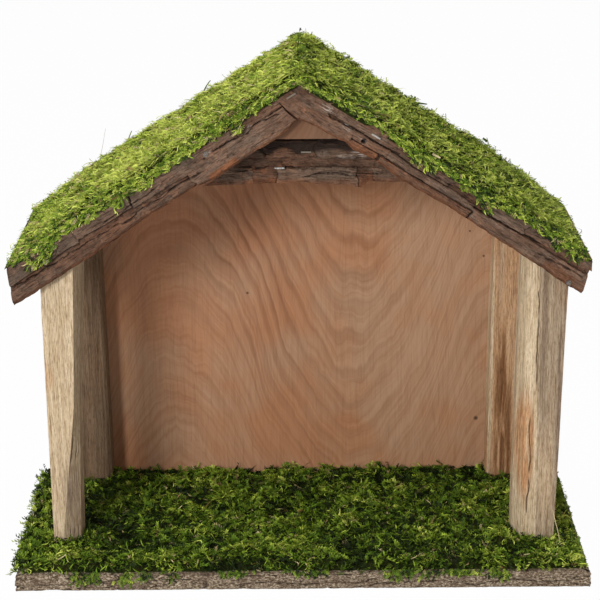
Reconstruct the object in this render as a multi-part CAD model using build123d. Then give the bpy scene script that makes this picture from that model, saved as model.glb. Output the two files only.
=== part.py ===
from build123d import *
import math
import os

# Wooden nativity stable: a board with four rough posts, a plywood back and roof, bark strips and sheet moss.
# Sizes are in millimetres. The origin is the middle of the board's underside, +Z is up, the open front faces -Y.

# Board that everything stands on
BASE_WIDTH = 330.0
BASE_DEPTH = 146.0
BASE_THICKNESS = 9.5
BASE_EDGE_WEAR = 0.8

# Roof panels: plywood slopes that meet at a plumb ridge joint
RIDGE_HEIGHT = 287.3
EAVE_HEIGHT = 186.2
EAVE_REACH = 162.5
ROOF_THICKNESS = 6.0
ROOF_REAR = 70.5

# Depths from front to back
BARK_FRONT = -48.5
POST_FRONT = -40.5
GUSSET_BACK = -36.5
COLLAR_FRONT = -29.0
COLLAR_BARK = 6.0
COLLAR_TIE = 5.0
BACK_POST_FRONT = 48.6
PANEL_FRONT = 66.6
PANEL_BACK = 69.6

# Back panel, gusset and collar
PANEL_HALF_WIDTH = 146.0
GUSSET_FOOT = 256.3
COLLAR_TOP = 260.0
TIE_FOOT = 231.0

# Sheet moss
ROOF_MOSS = 9.0
ROOF_MOSS_FRONT = -47.5
ROOF_MOSS_REAR = 71.5
ROOF_MOSS_REACH = 163.8
GROUND_MOSS = 7.0
GROUND_MOSS_SIDE = 163.6
GROUND_MOSS_FRONT = -72.4
POST_SLACK = 0.3

# Fasteners
NAIL_HEAD_RADIUS = 1.5
NAIL_HEAD = 0.8
NAIL_RADIUS = 0.6
STAPLE_CROWN = 5.6
STAPLE_WIRE = 0.8
STAPLE_LEG = 10.0
SCREW_HEAD_RADIUS = 4.0
SCREW_HEAD = 2.6
SCREW_RADIUS = 1.8
SCREW_REACH = 32.0
SCREW_RECESS = 0.4

ROOF_FALL = (RIDGE_HEIGHT - EAVE_HEIGHT) / EAVE_REACH
PITCH = math.atan(ROOF_FALL)
ROOF_PLUMB = ROOF_THICKNESS / math.cos(PITCH)
FAR = 400.0


def roof_top(x):
    """Height of the roof panels' upper face."""
    return RIDGE_HEIGHT - ROOF_FALL * abs(x)


def roof_under(x):
    """Height of the roof panels' lower face."""
    return roof_top(x) - ROOF_PLUMB


def reach_under_roof(z):
    """How far from the middle the roof's lower face comes down to a height."""
    return (RIDGE_HEIGHT - ROOF_PLUMB - z) / ROOF_FALL


def plate(outline, front, back):
    """A flat piece between two depths, with its (x, z) outline as seen from the front."""
    corners = [(x, front, z) for x, z in outline]
    return extrude(make_face(Polyline(*corners, close=True)), amount=back - front, dir=(0, 1, 0))


def above_roof():
    """All the room above the roof panels' lower face."""
    slope = [(-FAR, roof_under(FAR)), (0, roof_under(0)), (FAR, roof_under(FAR))]
    return plate(slope + [(FAR, FAR), (-FAR, FAR)], -FAR, FAR)


# Posts: each is split from a rough billet, so its sections at the foot and at the head differ.
# A section is a list of (x, y) corners, and all sections of a post have the same number of them.
# The front left post also has a section at its waist, where its slanting inner edge turns upright.
FRONT_POST_BACK = -20.0
FRONT_LEFT_FOOT = [(-145.8, -40.0), (-140.8, POST_FRONT), (-130.0, -36.0), (-129.5, FRONT_POST_BACK),
                   (-145.9, FRONT_POST_BACK)]
FRONT_LEFT_WAIST = [(-145.9, -40.0), (-130.0, POST_FRONT), (-127.6, -31.0), (-127.2, FRONT_POST_BACK),
                    (-145.9, FRONT_POST_BACK)]
FRONT_LEFT_HEAD = [(-145.8, -40.0), (-125.5, POST_FRONT), (-121.0, -31.0), (-120.5, FRONT_POST_BACK),
                   (-145.8, FRONT_POST_BACK)]
FRONT_RIGHT_FOOT = [(123.0, -27.0), (128.4, -37.5), (136.4, POST_FRONT), (147.4, -39.6),
                    (147.6, FRONT_POST_BACK), (122.6, FRONT_POST_BACK)]
FRONT_RIGHT_HEAD = [(124.6, -27.0), (126.8, -34.0), (133.0, POST_FRONT), (150.8, -39.8),
                    (151.0, FRONT_POST_BACK), (124.2, FRONT_POST_BACK)]
BACK_LEFT_FOOT = [(-145.0, 49.4), (-121.5, BACK_POST_FRONT), (-119.6, 50.2), (-119.6, PANEL_FRONT),
                  (-145.0, PANEL_FRONT)]
BACK_LEFT_HEAD = [(-145.0, 49.0), (-123.5, BACK_POST_FRONT), (-122.0, 50.0), (-122.0, PANEL_FRONT),
                  (-145.0, PANEL_FRONT)]
BACK_RIGHT_FOOT = [(116.0, 50.0), (118.0, BACK_POST_FRONT), (145.0, 49.4), (145.0, PANEL_FRONT),
                   (116.0, PANEL_FRONT)]
BACK_RIGHT_HEAD = [(117.8, 50.0), (119.8, BACK_POST_FRONT), (145.0, 49.0), (145.0, PANEL_FRONT),
                   (117.8, PANEL_FRONT)]
POST_STOCK = 215.0
WAIST_HEIGHT = 100.0


def section(corners, height):
    """A level section through a post."""
    return make_face(Polyline(*[(x, y, height) for x, y in corners], close=True))


def post(foot, head, waist=None):
    """A split post that stands on the board and is cut off along the roof's lower face."""
    sections = [section(foot, BASE_THICKNESS), section(head, POST_STOCK)]
    if waist:
        sections.insert(1, section(waist, WAIST_HEIGHT))
    return loft(sections, ruled=True) - above_roof()


# Bark strips: points of the ragged lower edge as (x, drop below the roof line), from the ridge to the eave
LEFT_LOWER_EDGE = [(-0.8, 18.9), (-12.8, 21.8), (-22.3, 21.0), (-35.4, 22.6), (-50.9, 23.2), (-56.3, 20.8),
                   (-88.0, 21.5), (-104.0, 23.2), (-121.5, 23.4), (-133.0, 24.2), (-160.0, 24.3)]
RIGHT_LOWER_EDGE = [(-0.8, 18.9), (7.6, 17.4), (20.7, 17.0), (24.9, 16.2), (29.0, 17.9), (39.8, 15.9),
                    (52.8, 18.6), (82.1, 17.9), (107.7, 19.8), (126.8, 20.8), (149.0, 22.3), (156.3, 21.6)]
LAP_REACH = 12.6
RIGHT_BARK_REACH = 161.5
COLLAR_LOWER_EDGE = [(-51.5, 226.6), (-16.0, 227.6), (0.0, 228.4), (30.0, 226.2), (34.0, 224.8), (38.0, 228.0)]


def strip_edge(points):
    """Lower edge of a bark strip as (x, z) points."""
    return [(x, roof_top(x) - drop) for x, drop in points]


def fascia_bark_left():
    """Bark strip of the left slope, which butts against the right strip's lapped end."""
    lap = (-LAP_REACH, roof_top(LAP_REACH))
    eave = (-EAVE_REACH, roof_top(EAVE_REACH))
    return plate([lap] + strip_edge(LEFT_LOWER_EDGE) + [eave], BARK_FRONT, POST_FRONT)


def fascia_bark_right():
    """Bark strip of the right slope, whose upper end laps over to the left of the ridge."""
    lap = (-LAP_REACH, roof_top(LAP_REACH))
    ridge = (0, roof_top(0))
    eave = (RIGHT_BARK_REACH, roof_top(RIGHT_BARK_REACH))
    return plate([ridge, lap] + strip_edge(RIGHT_LOWER_EDGE) + [eave], BARK_FRONT, POST_FRONT)


def trapezoid_under_roof(lower_edge, top):
    """Outline of a level strip with ends on the roof's lower face; its lower edge runs from left to right."""
    first, last = lower_edge[0][1], lower_edge[-1][1]
    left_foot = (-reach_under_roof(first), first)
    right_foot = (reach_under_roof(last), last)
    head = reach_under_roof(top)
    return [left_foot] + lower_edge + [right_foot, (head, top), (-head, top)]


def collar_bark():
    """Level bark strip under the gusset."""
    outline = trapezoid_under_roof(COLLAR_LOWER_EDGE, COLLAR_TOP)
    return plate(outline, COLLAR_FRONT, COLLAR_FRONT + COLLAR_BARK)


def collar_tie():
    """Plywood strip that carries the collar's bark."""
    foot = reach_under_roof(TIE_FOOT)
    head = reach_under_roof(COLLAR_TOP)
    front = COLLAR_FRONT + COLLAR_BARK
    outline = [(-foot, TIE_FOOT), (foot, TIE_FOOT), (head, COLLAR_TOP), (-head, COLLAR_TOP)]
    return plate(outline, front, front + COLLAR_TIE)


def front_gusset():
    """Plywood triangle behind the bark strips, under the ridge."""
    foot = reach_under_roof(GUSSET_FOOT)
    return plate([(-foot, GUSSET_FOOT), (foot, GUSSET_FOOT), (0, roof_under(0))], POST_FRONT, GUSSET_BACK)


def roof_panel(side):
    """One plywood slope; side is -1 for the left one and 1 for the right one."""
    outline = [(0, roof_top(0)), (side * EAVE_REACH, roof_top(EAVE_REACH)),
               (side * EAVE_REACH, roof_under(EAVE_REACH)), (0, roof_under(0))]
    return plate(outline, POST_FRONT, ROOF_REAR)


def back_panel():
    """House-shaped plywood sheet that stands on the board behind the back posts."""
    eave = roof_under(PANEL_HALF_WIDTH)
    outline = [(-PANEL_HALF_WIDTH, BASE_THICKNESS), (PANEL_HALF_WIDTH, BASE_THICKNESS),
               (PANEL_HALF_WIDTH, eave), (0, roof_under(0)), (-PANEL_HALF_WIDTH, eave)]
    return plate(outline, PANEL_FRONT, PANEL_BACK)


def base_board():
    """Board with its upper edges worn."""
    middle = BASE_THICKNESS / 2
    board = Pos(0, 0, middle) * Box(BASE_WIDTH, BASE_DEPTH, BASE_THICKNESS)
    upper = board.faces().sort_by(Axis.Z)[-1]
    return chamfer(upper.edges(), BASE_EDGE_WEAR)


# Moss mats: lofted through upright sections from front to back, thin at the front and rear lips.
# Each stop is a place along the mat's depth, from 0 to 1, with the share of the full thickness there.
ROOF_MOSS_STOPS = [(0.0, 0.5), (0.05, 0.8), (0.25, 0.95), (0.5, 1.0), (0.75, 1.05), (0.93, 1.0), (1.0, 0.55)]
GROUND_MOSS_STOPS = [(0.0, 0.35), (0.05, 0.85), (0.25, 1.0), (0.5, 0.9), (0.75, 1.0), (1.0, 0.7)]
SLOPE_STOPS = [0.03, 0.1, 0.22, 0.37, 0.52, 0.68, 0.84, 0.95]
GROUND_STOPS = [-0.97, -0.82, -0.6, -0.36, -0.12, 0.12, 0.36, 0.6, 0.82, 0.97]
RIDGE_SHARE = 0.85
EAVE_SHARE = 0.45
EAVE_BULGE = 0.6
LUMP_SHARE = 0.1
ROOF_LUMPS = 6.0
GROUND_LUMPS = 5.0


def lump(u, v):
    """Uneven growth of the moss, as a factor about 1."""
    broad = math.sin(2.3 * u + 1.7 * v)
    narrow = 0.6 * math.sin(5.1 * u - 3.3 * v + 1.0)
    return 1 + LUMP_SHARE * (broad + narrow)


def upright_section(outline, y):
    """A section through a mat at one depth, from its (x, z) outline."""
    return make_face(Polyline(*[(x, y, z) for x, z in outline], close=True))


def roof_moss(side):
    """Moss mat of one slope, from the ridge to a rounded eave."""
    sections = []
    for depth, share in ROOF_MOSS_STOPS:
        y = ROOF_MOSS_FRONT + depth * (ROOF_MOSS_REAR - ROOF_MOSS_FRONT)
        outline = [(0, roof_top(0)), (0, roof_top(0) + ROOF_MOSS * share * RIDGE_SHARE)]
        for stop in SLOPE_STOPS:
            x = stop * ROOF_MOSS_REACH
            height = ROOF_MOSS * share * lump(side * ROOF_LUMPS * stop, ROOF_LUMPS * depth)
            outline.append((side * x, roof_top(x) + height))
        eave = roof_top(ROOF_MOSS_REACH)
        outline.append((side * (ROOF_MOSS_REACH + EAVE_BULGE), eave + ROOF_MOSS * share * EAVE_SHARE))
        outline.append((side * ROOF_MOSS_REACH, eave))
        sections.append(upright_section(outline, y))
    return loft(sections, ruled=True)


def ground_moss(posts):
    """Moss mat over the board, with room cut round the posts."""
    sections = []
    rear = PANEL_FRONT - POST_SLACK
    for depth, share in GROUND_MOSS_STOPS:
        y = GROUND_MOSS_FRONT + depth * (rear - GROUND_MOSS_FRONT)
        outline = [(-GROUND_MOSS_SIDE, BASE_THICKNESS)]
        for stop in GROUND_STOPS:
            height = GROUND_MOSS * share * lump(GROUND_LUMPS * stop, GROUND_LUMPS * depth)
            outline.append((stop * GROUND_MOSS_SIDE, BASE_THICKNESS + height))
        outline.append((GROUND_MOSS_SIDE, BASE_THICKNESS))
        sections.append(upright_section(outline, y))
    mat = loft(sections, ruled=True)
    for feet in posts:
        xs = [x for x, y in feet]
        ys = [y for x, y in feet]
        width = max(xs) - min(xs) + 2 * POST_SLACK
        depth = max(ys) - min(ys) + 2 * POST_SLACK
        middle = ((max(xs) + min(xs)) / 2, (max(ys) + min(ys)) / 2, BASE_THICKNESS)
        mat -= Pos(*middle) * Box(width, depth, FAR)
    return mat


# Fasteners. A nail's head lies on the surface at its place, and its shank runs inwards.
BARK_NAIL_REACH = 18.0
PANEL_NAIL_REACH = 14.0
ROOF_NAIL_REACH = 15.0
FASCIA_NAILS = [(-50.8, 250.2), (-140.5, 190.0), (148.6, 175.4)]
FASCIA_STAPLES = [(-4.3, 281.9, -math.degrees(PITCH)), (41.3, 259.4, math.degrees(PITCH))]
COLLAR_STAPLES = [(3.6, 246.2, 0.0), (-11.1, 237.2, 0.0)]
PANEL_NAIL_X = 132.0
PANEL_NAIL_HEIGHTS = [40.0, 105.0, 170.0]
ROOF_NAIL_PLACES = [(139.0, -30.0), (60.0, -20.5), (132.0, 57.0)]
SCREW_PLACES = [(-136.5, -29.0), (135.5, -30.0), (-132.5, 57.5), (131.0, 57.5)]


def nail(reach):
    """A nail along +Z: the underside of its head is at the origin and its shank runs down."""
    head = Pos(0, 0, NAIL_HEAD / 2) * Cylinder(NAIL_HEAD_RADIUS, NAIL_HEAD)
    shank = Pos(0, 0, -reach / 2) * Cylinder(NAIL_RADIUS, reach)
    return head + shank


def staple():
    """A staple with its crown along X and its legs along +Y, the crown's back at the origin."""
    crown = Pos(0, -STAPLE_WIRE / 2, 0) * Box(STAPLE_CROWN, STAPLE_WIRE, STAPLE_WIRE)
    arm = (STAPLE_CROWN - STAPLE_WIRE) / 2
    for side in (-1, 1):
        crown += Pos(side * arm, STAPLE_LEG / 2, 0) * Box(STAPLE_WIRE, STAPLE_LEG, STAPLE_WIRE)
    return crown


def screw():
    """A countersunk screw that points up from the board's underside."""
    head = Pos(0, 0, SCREW_HEAD / 2) * Cone(SCREW_HEAD_RADIUS, SCREW_RADIUS, SCREW_HEAD)
    shank = Pos(0, 0, SCREW_HEAD + SCREW_REACH / 2) * Cylinder(SCREW_RADIUS, SCREW_REACH)
    return Pos(0, 0, SCREW_RECESS) * (head + shank)


def screw_recess():
    """The shallow hole below a screw's head."""
    return Pos(0, 0, SCREW_RECESS / 2) * Cylinder(SCREW_HEAD_RADIUS, SCREW_RECESS)


def nails_in_bark():
    """Nails through the bark strips, pointing back."""
    facing = Rotation(90, 0, 0)
    return [Pos(x, BARK_FRONT, z) * facing * nail(BARK_NAIL_REACH) for x, z in FASCIA_NAILS]


def staples_in(places, front):
    """Staples in a bark strip; each place is (x, z, fall of the crown to the right in degrees)."""
    return [Pos(x, front, z) * Rotation(0, fall, 0) * staple() for x, z, fall in places]


def nails_in_panel():
    """Nails through the back panel into the back posts, pointing forward."""
    facing = Rotation(-90, 0, 0)
    places = [(side * PANEL_NAIL_X, z) for side in (-1, 1) for z in PANEL_NAIL_HEIGHTS]
    return [Pos(x, PANEL_BACK, z) * facing * nail(PANEL_NAIL_REACH) for x, z in places]


def nails_in_roof():
    """Nails square through the roof panels into the posts and the tie."""
    nails = []
    sunk = NAIL_HEAD / math.cos(PITCH)
    for side in (-1, 1):
        facing = Rotation(0, side * math.degrees(PITCH), 0)
        for x, y in ROOF_NAIL_PLACES:
            nails.append(Pos(side * x, y, roof_top(x) - sunk) * facing * nail(ROOF_NAIL_REACH))
    return nails


def drilled(piece, fasteners):
    """A piece with the room for its fasteners cut out."""
    for fastener in fasteners:
        piece -= fastener
    return piece


def build():
    """Every node with its solids."""
    bark_nails = nails_in_bark()
    bark_staples = staples_in(FASCIA_STAPLES, BARK_FRONT)
    collar_staples = staples_in(COLLAR_STAPLES, COLLAR_FRONT)
    panel_nails = nails_in_panel()
    roof_nails = nails_in_roof()
    screws = [Pos(x, y, 0) * screw() for x, y in SCREW_PLACES]
    recesses = [Pos(x, y, 0) * screw_recess() for x, y in SCREW_PLACES]
    in_front = bark_nails + bark_staples
    in_posts = screws + bark_nails + panel_nails + roof_nails
    feet = [FRONT_LEFT_FOOT, FRONT_RIGHT_FOOT, BACK_LEFT_FOOT, BACK_RIGHT_FOOT]
    return {
        "base_board": drilled(base_board(), screws + recesses),
        "ground_moss": ground_moss(feet),
        "front_left_post": drilled(post(FRONT_LEFT_FOOT, FRONT_LEFT_HEAD, FRONT_LEFT_WAIST), in_posts),
        "front_right_post": drilled(post(FRONT_RIGHT_FOOT, FRONT_RIGHT_HEAD), in_posts),
        "back_left_post": drilled(post(BACK_LEFT_FOOT, BACK_LEFT_HEAD), in_posts),
        "back_right_post": drilled(post(BACK_RIGHT_FOOT, BACK_RIGHT_HEAD), in_posts),
        "back_panel": drilled(back_panel(), panel_nails),
        "roof_panel_left": drilled(roof_panel(-1), in_front + roof_nails),
        "roof_panel_right": drilled(roof_panel(1), in_front + roof_nails),
        "roof_moss_left": roof_moss(-1),
        "roof_moss_right": roof_moss(1),
        "front_gusset": drilled(front_gusset(), in_front),
        "collar_tie": drilled(collar_tie(), collar_staples + roof_nails),
        "collar_bark": drilled(collar_bark(), collar_staples + roof_nails),
        "fascia_bark_left": drilled(fascia_bark_left(), in_front),
        "fascia_bark_right": drilled(fascia_bark_right(), in_front),
        "post_screws": Compound(children=screws),
        "back_panel_nails": Compound(children=panel_nails),
        "roof_nails": Compound(children=roof_nails),
        "fascia_nails": Compound(children=bark_nails),
        "fascia_staples": Compound(children=bark_staples),
        "collar_staples": Compound(children=collar_staples),
    }


os.makedirs("parts", exist_ok=True)
for node, solids in build().items():
    export_step(solids, f"parts/{node}.step")
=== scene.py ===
import math

import bmesh
import bpy
import numpy as np
from mathutils import Euler, Matrix, Vector


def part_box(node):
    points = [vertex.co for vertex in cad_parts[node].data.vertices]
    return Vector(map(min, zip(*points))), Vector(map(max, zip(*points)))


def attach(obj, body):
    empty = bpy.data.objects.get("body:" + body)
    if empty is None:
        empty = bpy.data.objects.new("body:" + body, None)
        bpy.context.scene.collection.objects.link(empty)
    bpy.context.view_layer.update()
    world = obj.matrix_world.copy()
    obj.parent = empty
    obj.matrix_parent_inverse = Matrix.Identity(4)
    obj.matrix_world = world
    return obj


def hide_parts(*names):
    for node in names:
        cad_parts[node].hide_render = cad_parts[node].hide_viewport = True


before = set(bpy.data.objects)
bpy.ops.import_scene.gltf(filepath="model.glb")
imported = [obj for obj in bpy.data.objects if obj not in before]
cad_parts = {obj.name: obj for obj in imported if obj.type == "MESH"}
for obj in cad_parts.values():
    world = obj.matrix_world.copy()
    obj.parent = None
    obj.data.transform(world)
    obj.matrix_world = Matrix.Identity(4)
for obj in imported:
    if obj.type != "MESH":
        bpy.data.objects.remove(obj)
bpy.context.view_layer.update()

MM = 0.001
BAKE_MAP = "OFBake"

# Lines of the solids that the pieces below are fitted to
RIDGE_HEIGHT = 287.3 * MM
EAVE_HEIGHT = 186.2 * MM
EAVE_REACH = 162.5 * MM
ROOF_THICKNESS = 6.0 * MM
ROOF_FALL = (RIDGE_HEIGHT - EAVE_HEIGHT) / EAVE_REACH
PITCH = math.atan(ROOF_FALL)
ROOF_PLUMB = ROOF_THICKNESS / math.cos(PITCH)
BASE_LOW, BASE_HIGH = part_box("base_board")
BASE_TOP = BASE_HIGH.z


def roof_top(x):
    """Height of the roof panels' upper face."""
    return RIDGE_HEIGHT - ROOF_FALL * np.abs(x)


def roof_under(x):
    """Height of the roof panels' lower face."""
    return roof_top(x) - ROOF_PLUMB


# Numbers that vary smoothly over a surface


def ease(share):
    """Smooths a share between 0 and 1."""
    share = np.clip(share, 0, 1)
    return share * share * (3 - 2 * share)


def lattice(across, along, seed):
    """A repeatable number from 0 to 1 for each pair of whole-number cells."""
    mixed = across.astype(np.int64) * 73856093 + along.astype(np.int64) * 19349663 + seed * 83492791
    mixed = (mixed ^ (mixed >> 13)) * 1274126177
    return ((mixed ^ (mixed >> 16)) & 0xFFFF) / 0xFFFF


def noise(seed, across, along):
    """Smooth noise from 0 to 1; both places are counted in cells."""
    cell_a, cell_b = np.floor(across), np.floor(along)
    part_a, part_b = ease(across - cell_a), ease(along - cell_b)
    rows = []
    for step in (0, 1):
        first = lattice(cell_a + step, cell_b, seed)
        second = lattice(cell_a + step, cell_b + 1, seed)
        rows.append(first + part_b * (second - first))
    return rows[0] + part_a * (rows[1] - rows[0])


def rough_noise(seed, across, along, layers=3):
    """Noise with finer and weaker noise laid over it, from 0 to 1."""
    total, most = 0.0, 0.0
    for layer in range(layers):
        strength = 0.5 ** layer
        total = total + strength * noise(seed + layer, across * 2 ** layer, along * 2 ** layer)
        most += strength
    return total / most


def rough(seed, across, along, form, layers=3):
    """Rough noise above 0; form is its strength and the size of its cells across and along."""
    strength, wide, tall = form
    return strength * rough_noise(seed, across / wide, along / tall, layers)


def waver(seed, across, along, form, layers=3):
    """The same noise, swinging about 0."""
    strength, wide, tall = form
    return strength * (rough_noise(seed, across / wide, along / tall, layers) - 0.5)


def crack_lines(seed, across, along, width):
    """1 along thin wandering lines, falling to 0 at the width on each side."""
    return np.clip(1 - np.abs(noise(seed, across, along) - 0.5) / width, 0, 1)


def spot_mark(across, along, middle, centre, width, height):
    """1 in the middle of a soft oval patch, 0 outside it."""
    reach = ((across - middle) / width) ** 2 + ((along - centre) / height) ** 2
    return ease(1 - reach)


def blurred(values, columns, passes):
    """Values on a grid, each averaged with its neighbours several times."""
    field = values.reshape(-1, columns)
    for _ in range(passes):
        padded = np.pad(field, 1, mode="edge")
        field = (padded[:-2, 1:-1] + padded[2:, 1:-1] + padded[1:-1, :-2] + padded[1:-1, 2:]) / 4
    return field.ravel()


# Meshes
SEAM_MERGE = 0.02 * MM
TIP_MERGE = 0.01 * MM
LEAST_BAND = 0.04
MAP_GAP = 0.004


def sheet(columns, rows):
    """A flat grid to be shaped, with each vertex's place across and up from 0 to 1."""
    bm = bmesh.new()
    bmesh.ops.create_grid(bm, x_segments=columns, y_segments=rows, size=0.5)
    across = np.array([vertex.co.x for vertex in bm.verts]) + 0.5
    up = np.array([vertex.co.y for vertex in bm.verts]) + 0.5
    return bm, across, up


def shape(bm, x, y, z):
    """Moves every vertex to its place."""
    for vertex, place in zip(bm.verts, np.stack([x, y, z], axis=1)):
        vertex.co = place


def mark(bm, **values):
    """Keeps numbers for the finish on the vertices, each under its name."""
    for name, numbers in values.items():
        layer = bm.verts.layers.float.new(name)
        for vertex, number in zip(bm.verts, numbers):
            vertex[layer] = number


def rim_of(bm):
    """The open edges of a mesh."""
    return [edge for edge in bm.edges if edge.is_boundary]


def grown(bm, edges):
    """Extrudes edges, and gives the new vertices and the new rim."""
    made = bmesh.ops.extrude_edge_only(bm, edges=edges)["geom"]
    vertices = [item for item in made if isinstance(item, bmesh.types.BMVert)]
    rim = [item for item in made if isinstance(item, bmesh.types.BMEdge) and item.is_boundary]
    return vertices, rim


def close_behind(bm, back):
    """Gives a relief its thickness: its rim runs back to where back puts each point, and is filled there."""
    vertices, _ = grown(bm, rim_of(bm))
    for vertex in vertices:
        vertex.co = back(vertex.co)
    bmesh.ops.edgeloop_fill(bm, edges=rim_of(bm))


def lay_out(mesh, lean):
    """Lays each of a mesh's six sides flat in a band of its own, as the map that its finish is baked through.

    lean has a weight for each axis, so that a relief that faces one of them is laid out whole along it.
    """
    faces = len(mesh.polygons)
    normals = np.empty(faces * 3, np.float32)
    areas = np.empty(faces, np.float32)
    counts = np.empty(faces, np.int32)
    owners = np.empty(len(mesh.loops), np.int32)
    points = np.empty(len(mesh.vertices) * 3, np.float32)
    mesh.polygons.foreach_get("normal", normals)
    mesh.polygons.foreach_get("area", areas)
    mesh.polygons.foreach_get("loop_total", counts)
    mesh.loops.foreach_get("vertex_index", owners)
    mesh.vertices.foreach_get("co", points)
    weighed = normals.reshape(-1, 3) * lean
    axis = np.abs(weighed).argmax(axis=1)
    side = axis * 2 + (weighed[np.arange(faces), axis] > 0)
    corner_side = np.repeat(side, counts)
    corners = points.reshape(-1, 3)[owners]
    shares = np.array([areas[side == number].sum() for number in range(6)])
    shares = np.where(shares > 0, np.maximum(shares / shares.sum(), LEAST_BAND), 0)
    ends = np.cumsum(shares) / shares.sum()
    places = np.zeros((len(owners), 2), np.float32)
    for number in range(6):
        mine = corner_side == number
        if not mine.any():
            continue
        flat = np.delete(corners[mine], number // 2, axis=1)
        span = np.ptp(flat, axis=0)
        flat = (flat - flat.min(axis=0)) / np.maximum(span, MM)
        if span[0] > span[1]:
            flat = flat[:, ::-1]
        width = shares[number] / shares.sum() - 2 * MAP_GAP
        places[mine, 0] = ends[number] - MAP_GAP - width * flat[:, 0]
        places[mine, 1] = MAP_GAP + (1 - 2 * MAP_GAP) * flat[:, 1]
    mesh.uv_layers.new(name=BAKE_MAP).uv.foreach_set("vector", places.ravel())


def show(name, mesh, finish, slot, *nodes):
    """Puts a finished mesh in the scene as a piece that stands for CAD nodes."""
    piece = bpy.data.objects.new(name, mesh)
    bpy.context.scene.collection.objects.link(piece)
    mesh.materials.append(finish)
    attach(piece, "root")
    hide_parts(*nodes)


def show_relief(name, bm, lean, finish, slot, node):
    """Turns a closed relief into a piece, with its bake map."""
    bmesh.ops.recalc_face_normals(bm, faces=bm.faces)
    mesh = bpy.data.meshes.new(name)
    bm.to_mesh(mesh)
    bm.free()
    lay_out(mesh, lean)
    show(name, mesh, finish, slot, node)


# Node trees


def paint(red, green, blue):
    """A colour given as it looks on a screen, from 0 to 255."""
    linear = []
    for part in (red, green, blue):
        share = part / 255
        linear.append(share / 12.92 if share <= 0.04045 else ((share + 0.055) / 1.055) ** 2.4)
    return (*linear, 1.0)


WHITE = paint(255, 255, 255)


def add(tree, kind, links=None, **settings):
    """Adds a node; links gives an input a socket to follow or a plain value."""
    made = tree.nodes.new(kind)
    for name, value in settings.items():
        setattr(made, name, value)
    for name, value in (links or {}).items():
        if isinstance(value, bpy.types.NodeSocket):
            tree.links.new(value, made.inputs[name])
        else:
            made.inputs[name].default_value = value
    return made


def sum_of(tree, operation, first, second=0.0):
    """The result of a sum with one or two values."""
    return add(tree, "ShaderNodeMath", {0: first, 1: second}, operation=operation).outputs[0]


def between(tree, value, low, high, start=0.0, end=1.0):
    """A value spread from start to end as it goes from low to high, and held there."""
    spread = add(tree, "ShaderNodeMapRange", {0: value, 1: low, 2: high, 3: start, 4: end})
    return spread.outputs[0]


def blend(tree, factor, first, second, way="MIX"):
    """Two colours laid over each other."""
    mixed = add(tree, "ShaderNodeMix", {0: factor, 6: first, 7: second}, data_type="RGBA", blend_type=way)
    return mixed.outputs[2]


def shades(tree, factor, stops):
    """A ramp of colours, each with its place from 0 to 1."""
    made = add(tree, "ShaderNodeValToRGB", {0: factor})
    ramp = made.color_ramp
    for number, (place, colour) in enumerate(stops):
        stop = ramp.elements[number] if number < 2 else ramp.elements.new(place)
        stop.position = place
        stop.color = colour
    return made.outputs[0]


def tinted(tree, tone, factor, stops):
    """A colour multiplied by a ramp of tints."""
    return blend(tree, 1.0, tone, shades(tree, factor, stops), "MULTIPLY")


def cloud(tree, vector, scale, detail=2.0, roughness=0.5, distortion=0.0):
    """Noise from 0 to 1, with a number of cells to a metre."""
    links = {"Vector": vector, "Scale": scale, "Detail": detail, "Roughness": roughness,
             "Distortion": distortion}
    return add(tree, "ShaderNodeTexNoise", links).outputs[0]


def stretched(tree, vector, scale, turn=(0, 0, 0)):
    """Coordinates that are stretched or turned."""
    links = {"Vector": vector, "Rotation": turn, "Scale": scale}
    return add(tree, "ShaderNodeMapping", links).outputs[0]


def split_place(tree, vector):
    """The X, Y and Z of a place."""
    return add(tree, "ShaderNodeSeparateXYZ", {0: vector}).outputs


def joined_place(tree, *numbers):
    """A place made of two or three numbers."""
    return add(tree, "ShaderNodeCombineXYZ", dict(enumerate(numbers))).outputs[0]


def object_place(tree):
    """The place of a point in the object's own frame."""
    return add(tree, "ShaderNodeTexCoord").outputs["Object"]


def kept(tree, name):
    """A number that was kept on the vertices."""
    return add(tree, "ShaderNodeAttribute", attribute_name=name).outputs["Fac"]


def bumped(tree, height, distance):
    """A normal that follows a fine height, which is given in metres at its fullest."""
    return add(tree, "ShaderNodeBump", {"Height": height, "Distance": distance}).outputs[0]


def new_finish(name, roughness=0.8, shine=0.3):
    """A material with its tree and shader."""
    material = bpy.data.materials.new(name)
    material.use_nodes = True
    shader = material.node_tree.nodes["Principled BSDF"]
    shader.inputs["Roughness"].default_value = roughness
    shader.inputs["Specular IOR Level"].default_value = shine
    return material, material.node_tree, shader


def dress(tree, shader, tone, normal=None, roughness=None):
    """Feeds the shader its colour and, where a finish has them, its fine relief and its roughness."""
    for label, socket in (("Base Color", tone), ("Normal", normal), ("Roughness", roughness)):
        if socket is not None:
            tree.links.new(socket, shader.inputs[label])


def new_group(name, inputs, outputs):
    """A node group with named number and vector sockets."""
    tree = bpy.data.node_groups.new(name, "ShaderNodeTree")
    for label, kind in inputs:
        tree.interface.new_socket(label, in_out="INPUT", socket_type=kind)
    for label in outputs:
        tree.interface.new_socket(label, in_out="OUTPUT", socket_type="NodeSocketFloat")
    return tree, tree.nodes.new("NodeGroupInput"), tree.nodes.new("NodeGroupOutput")


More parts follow.
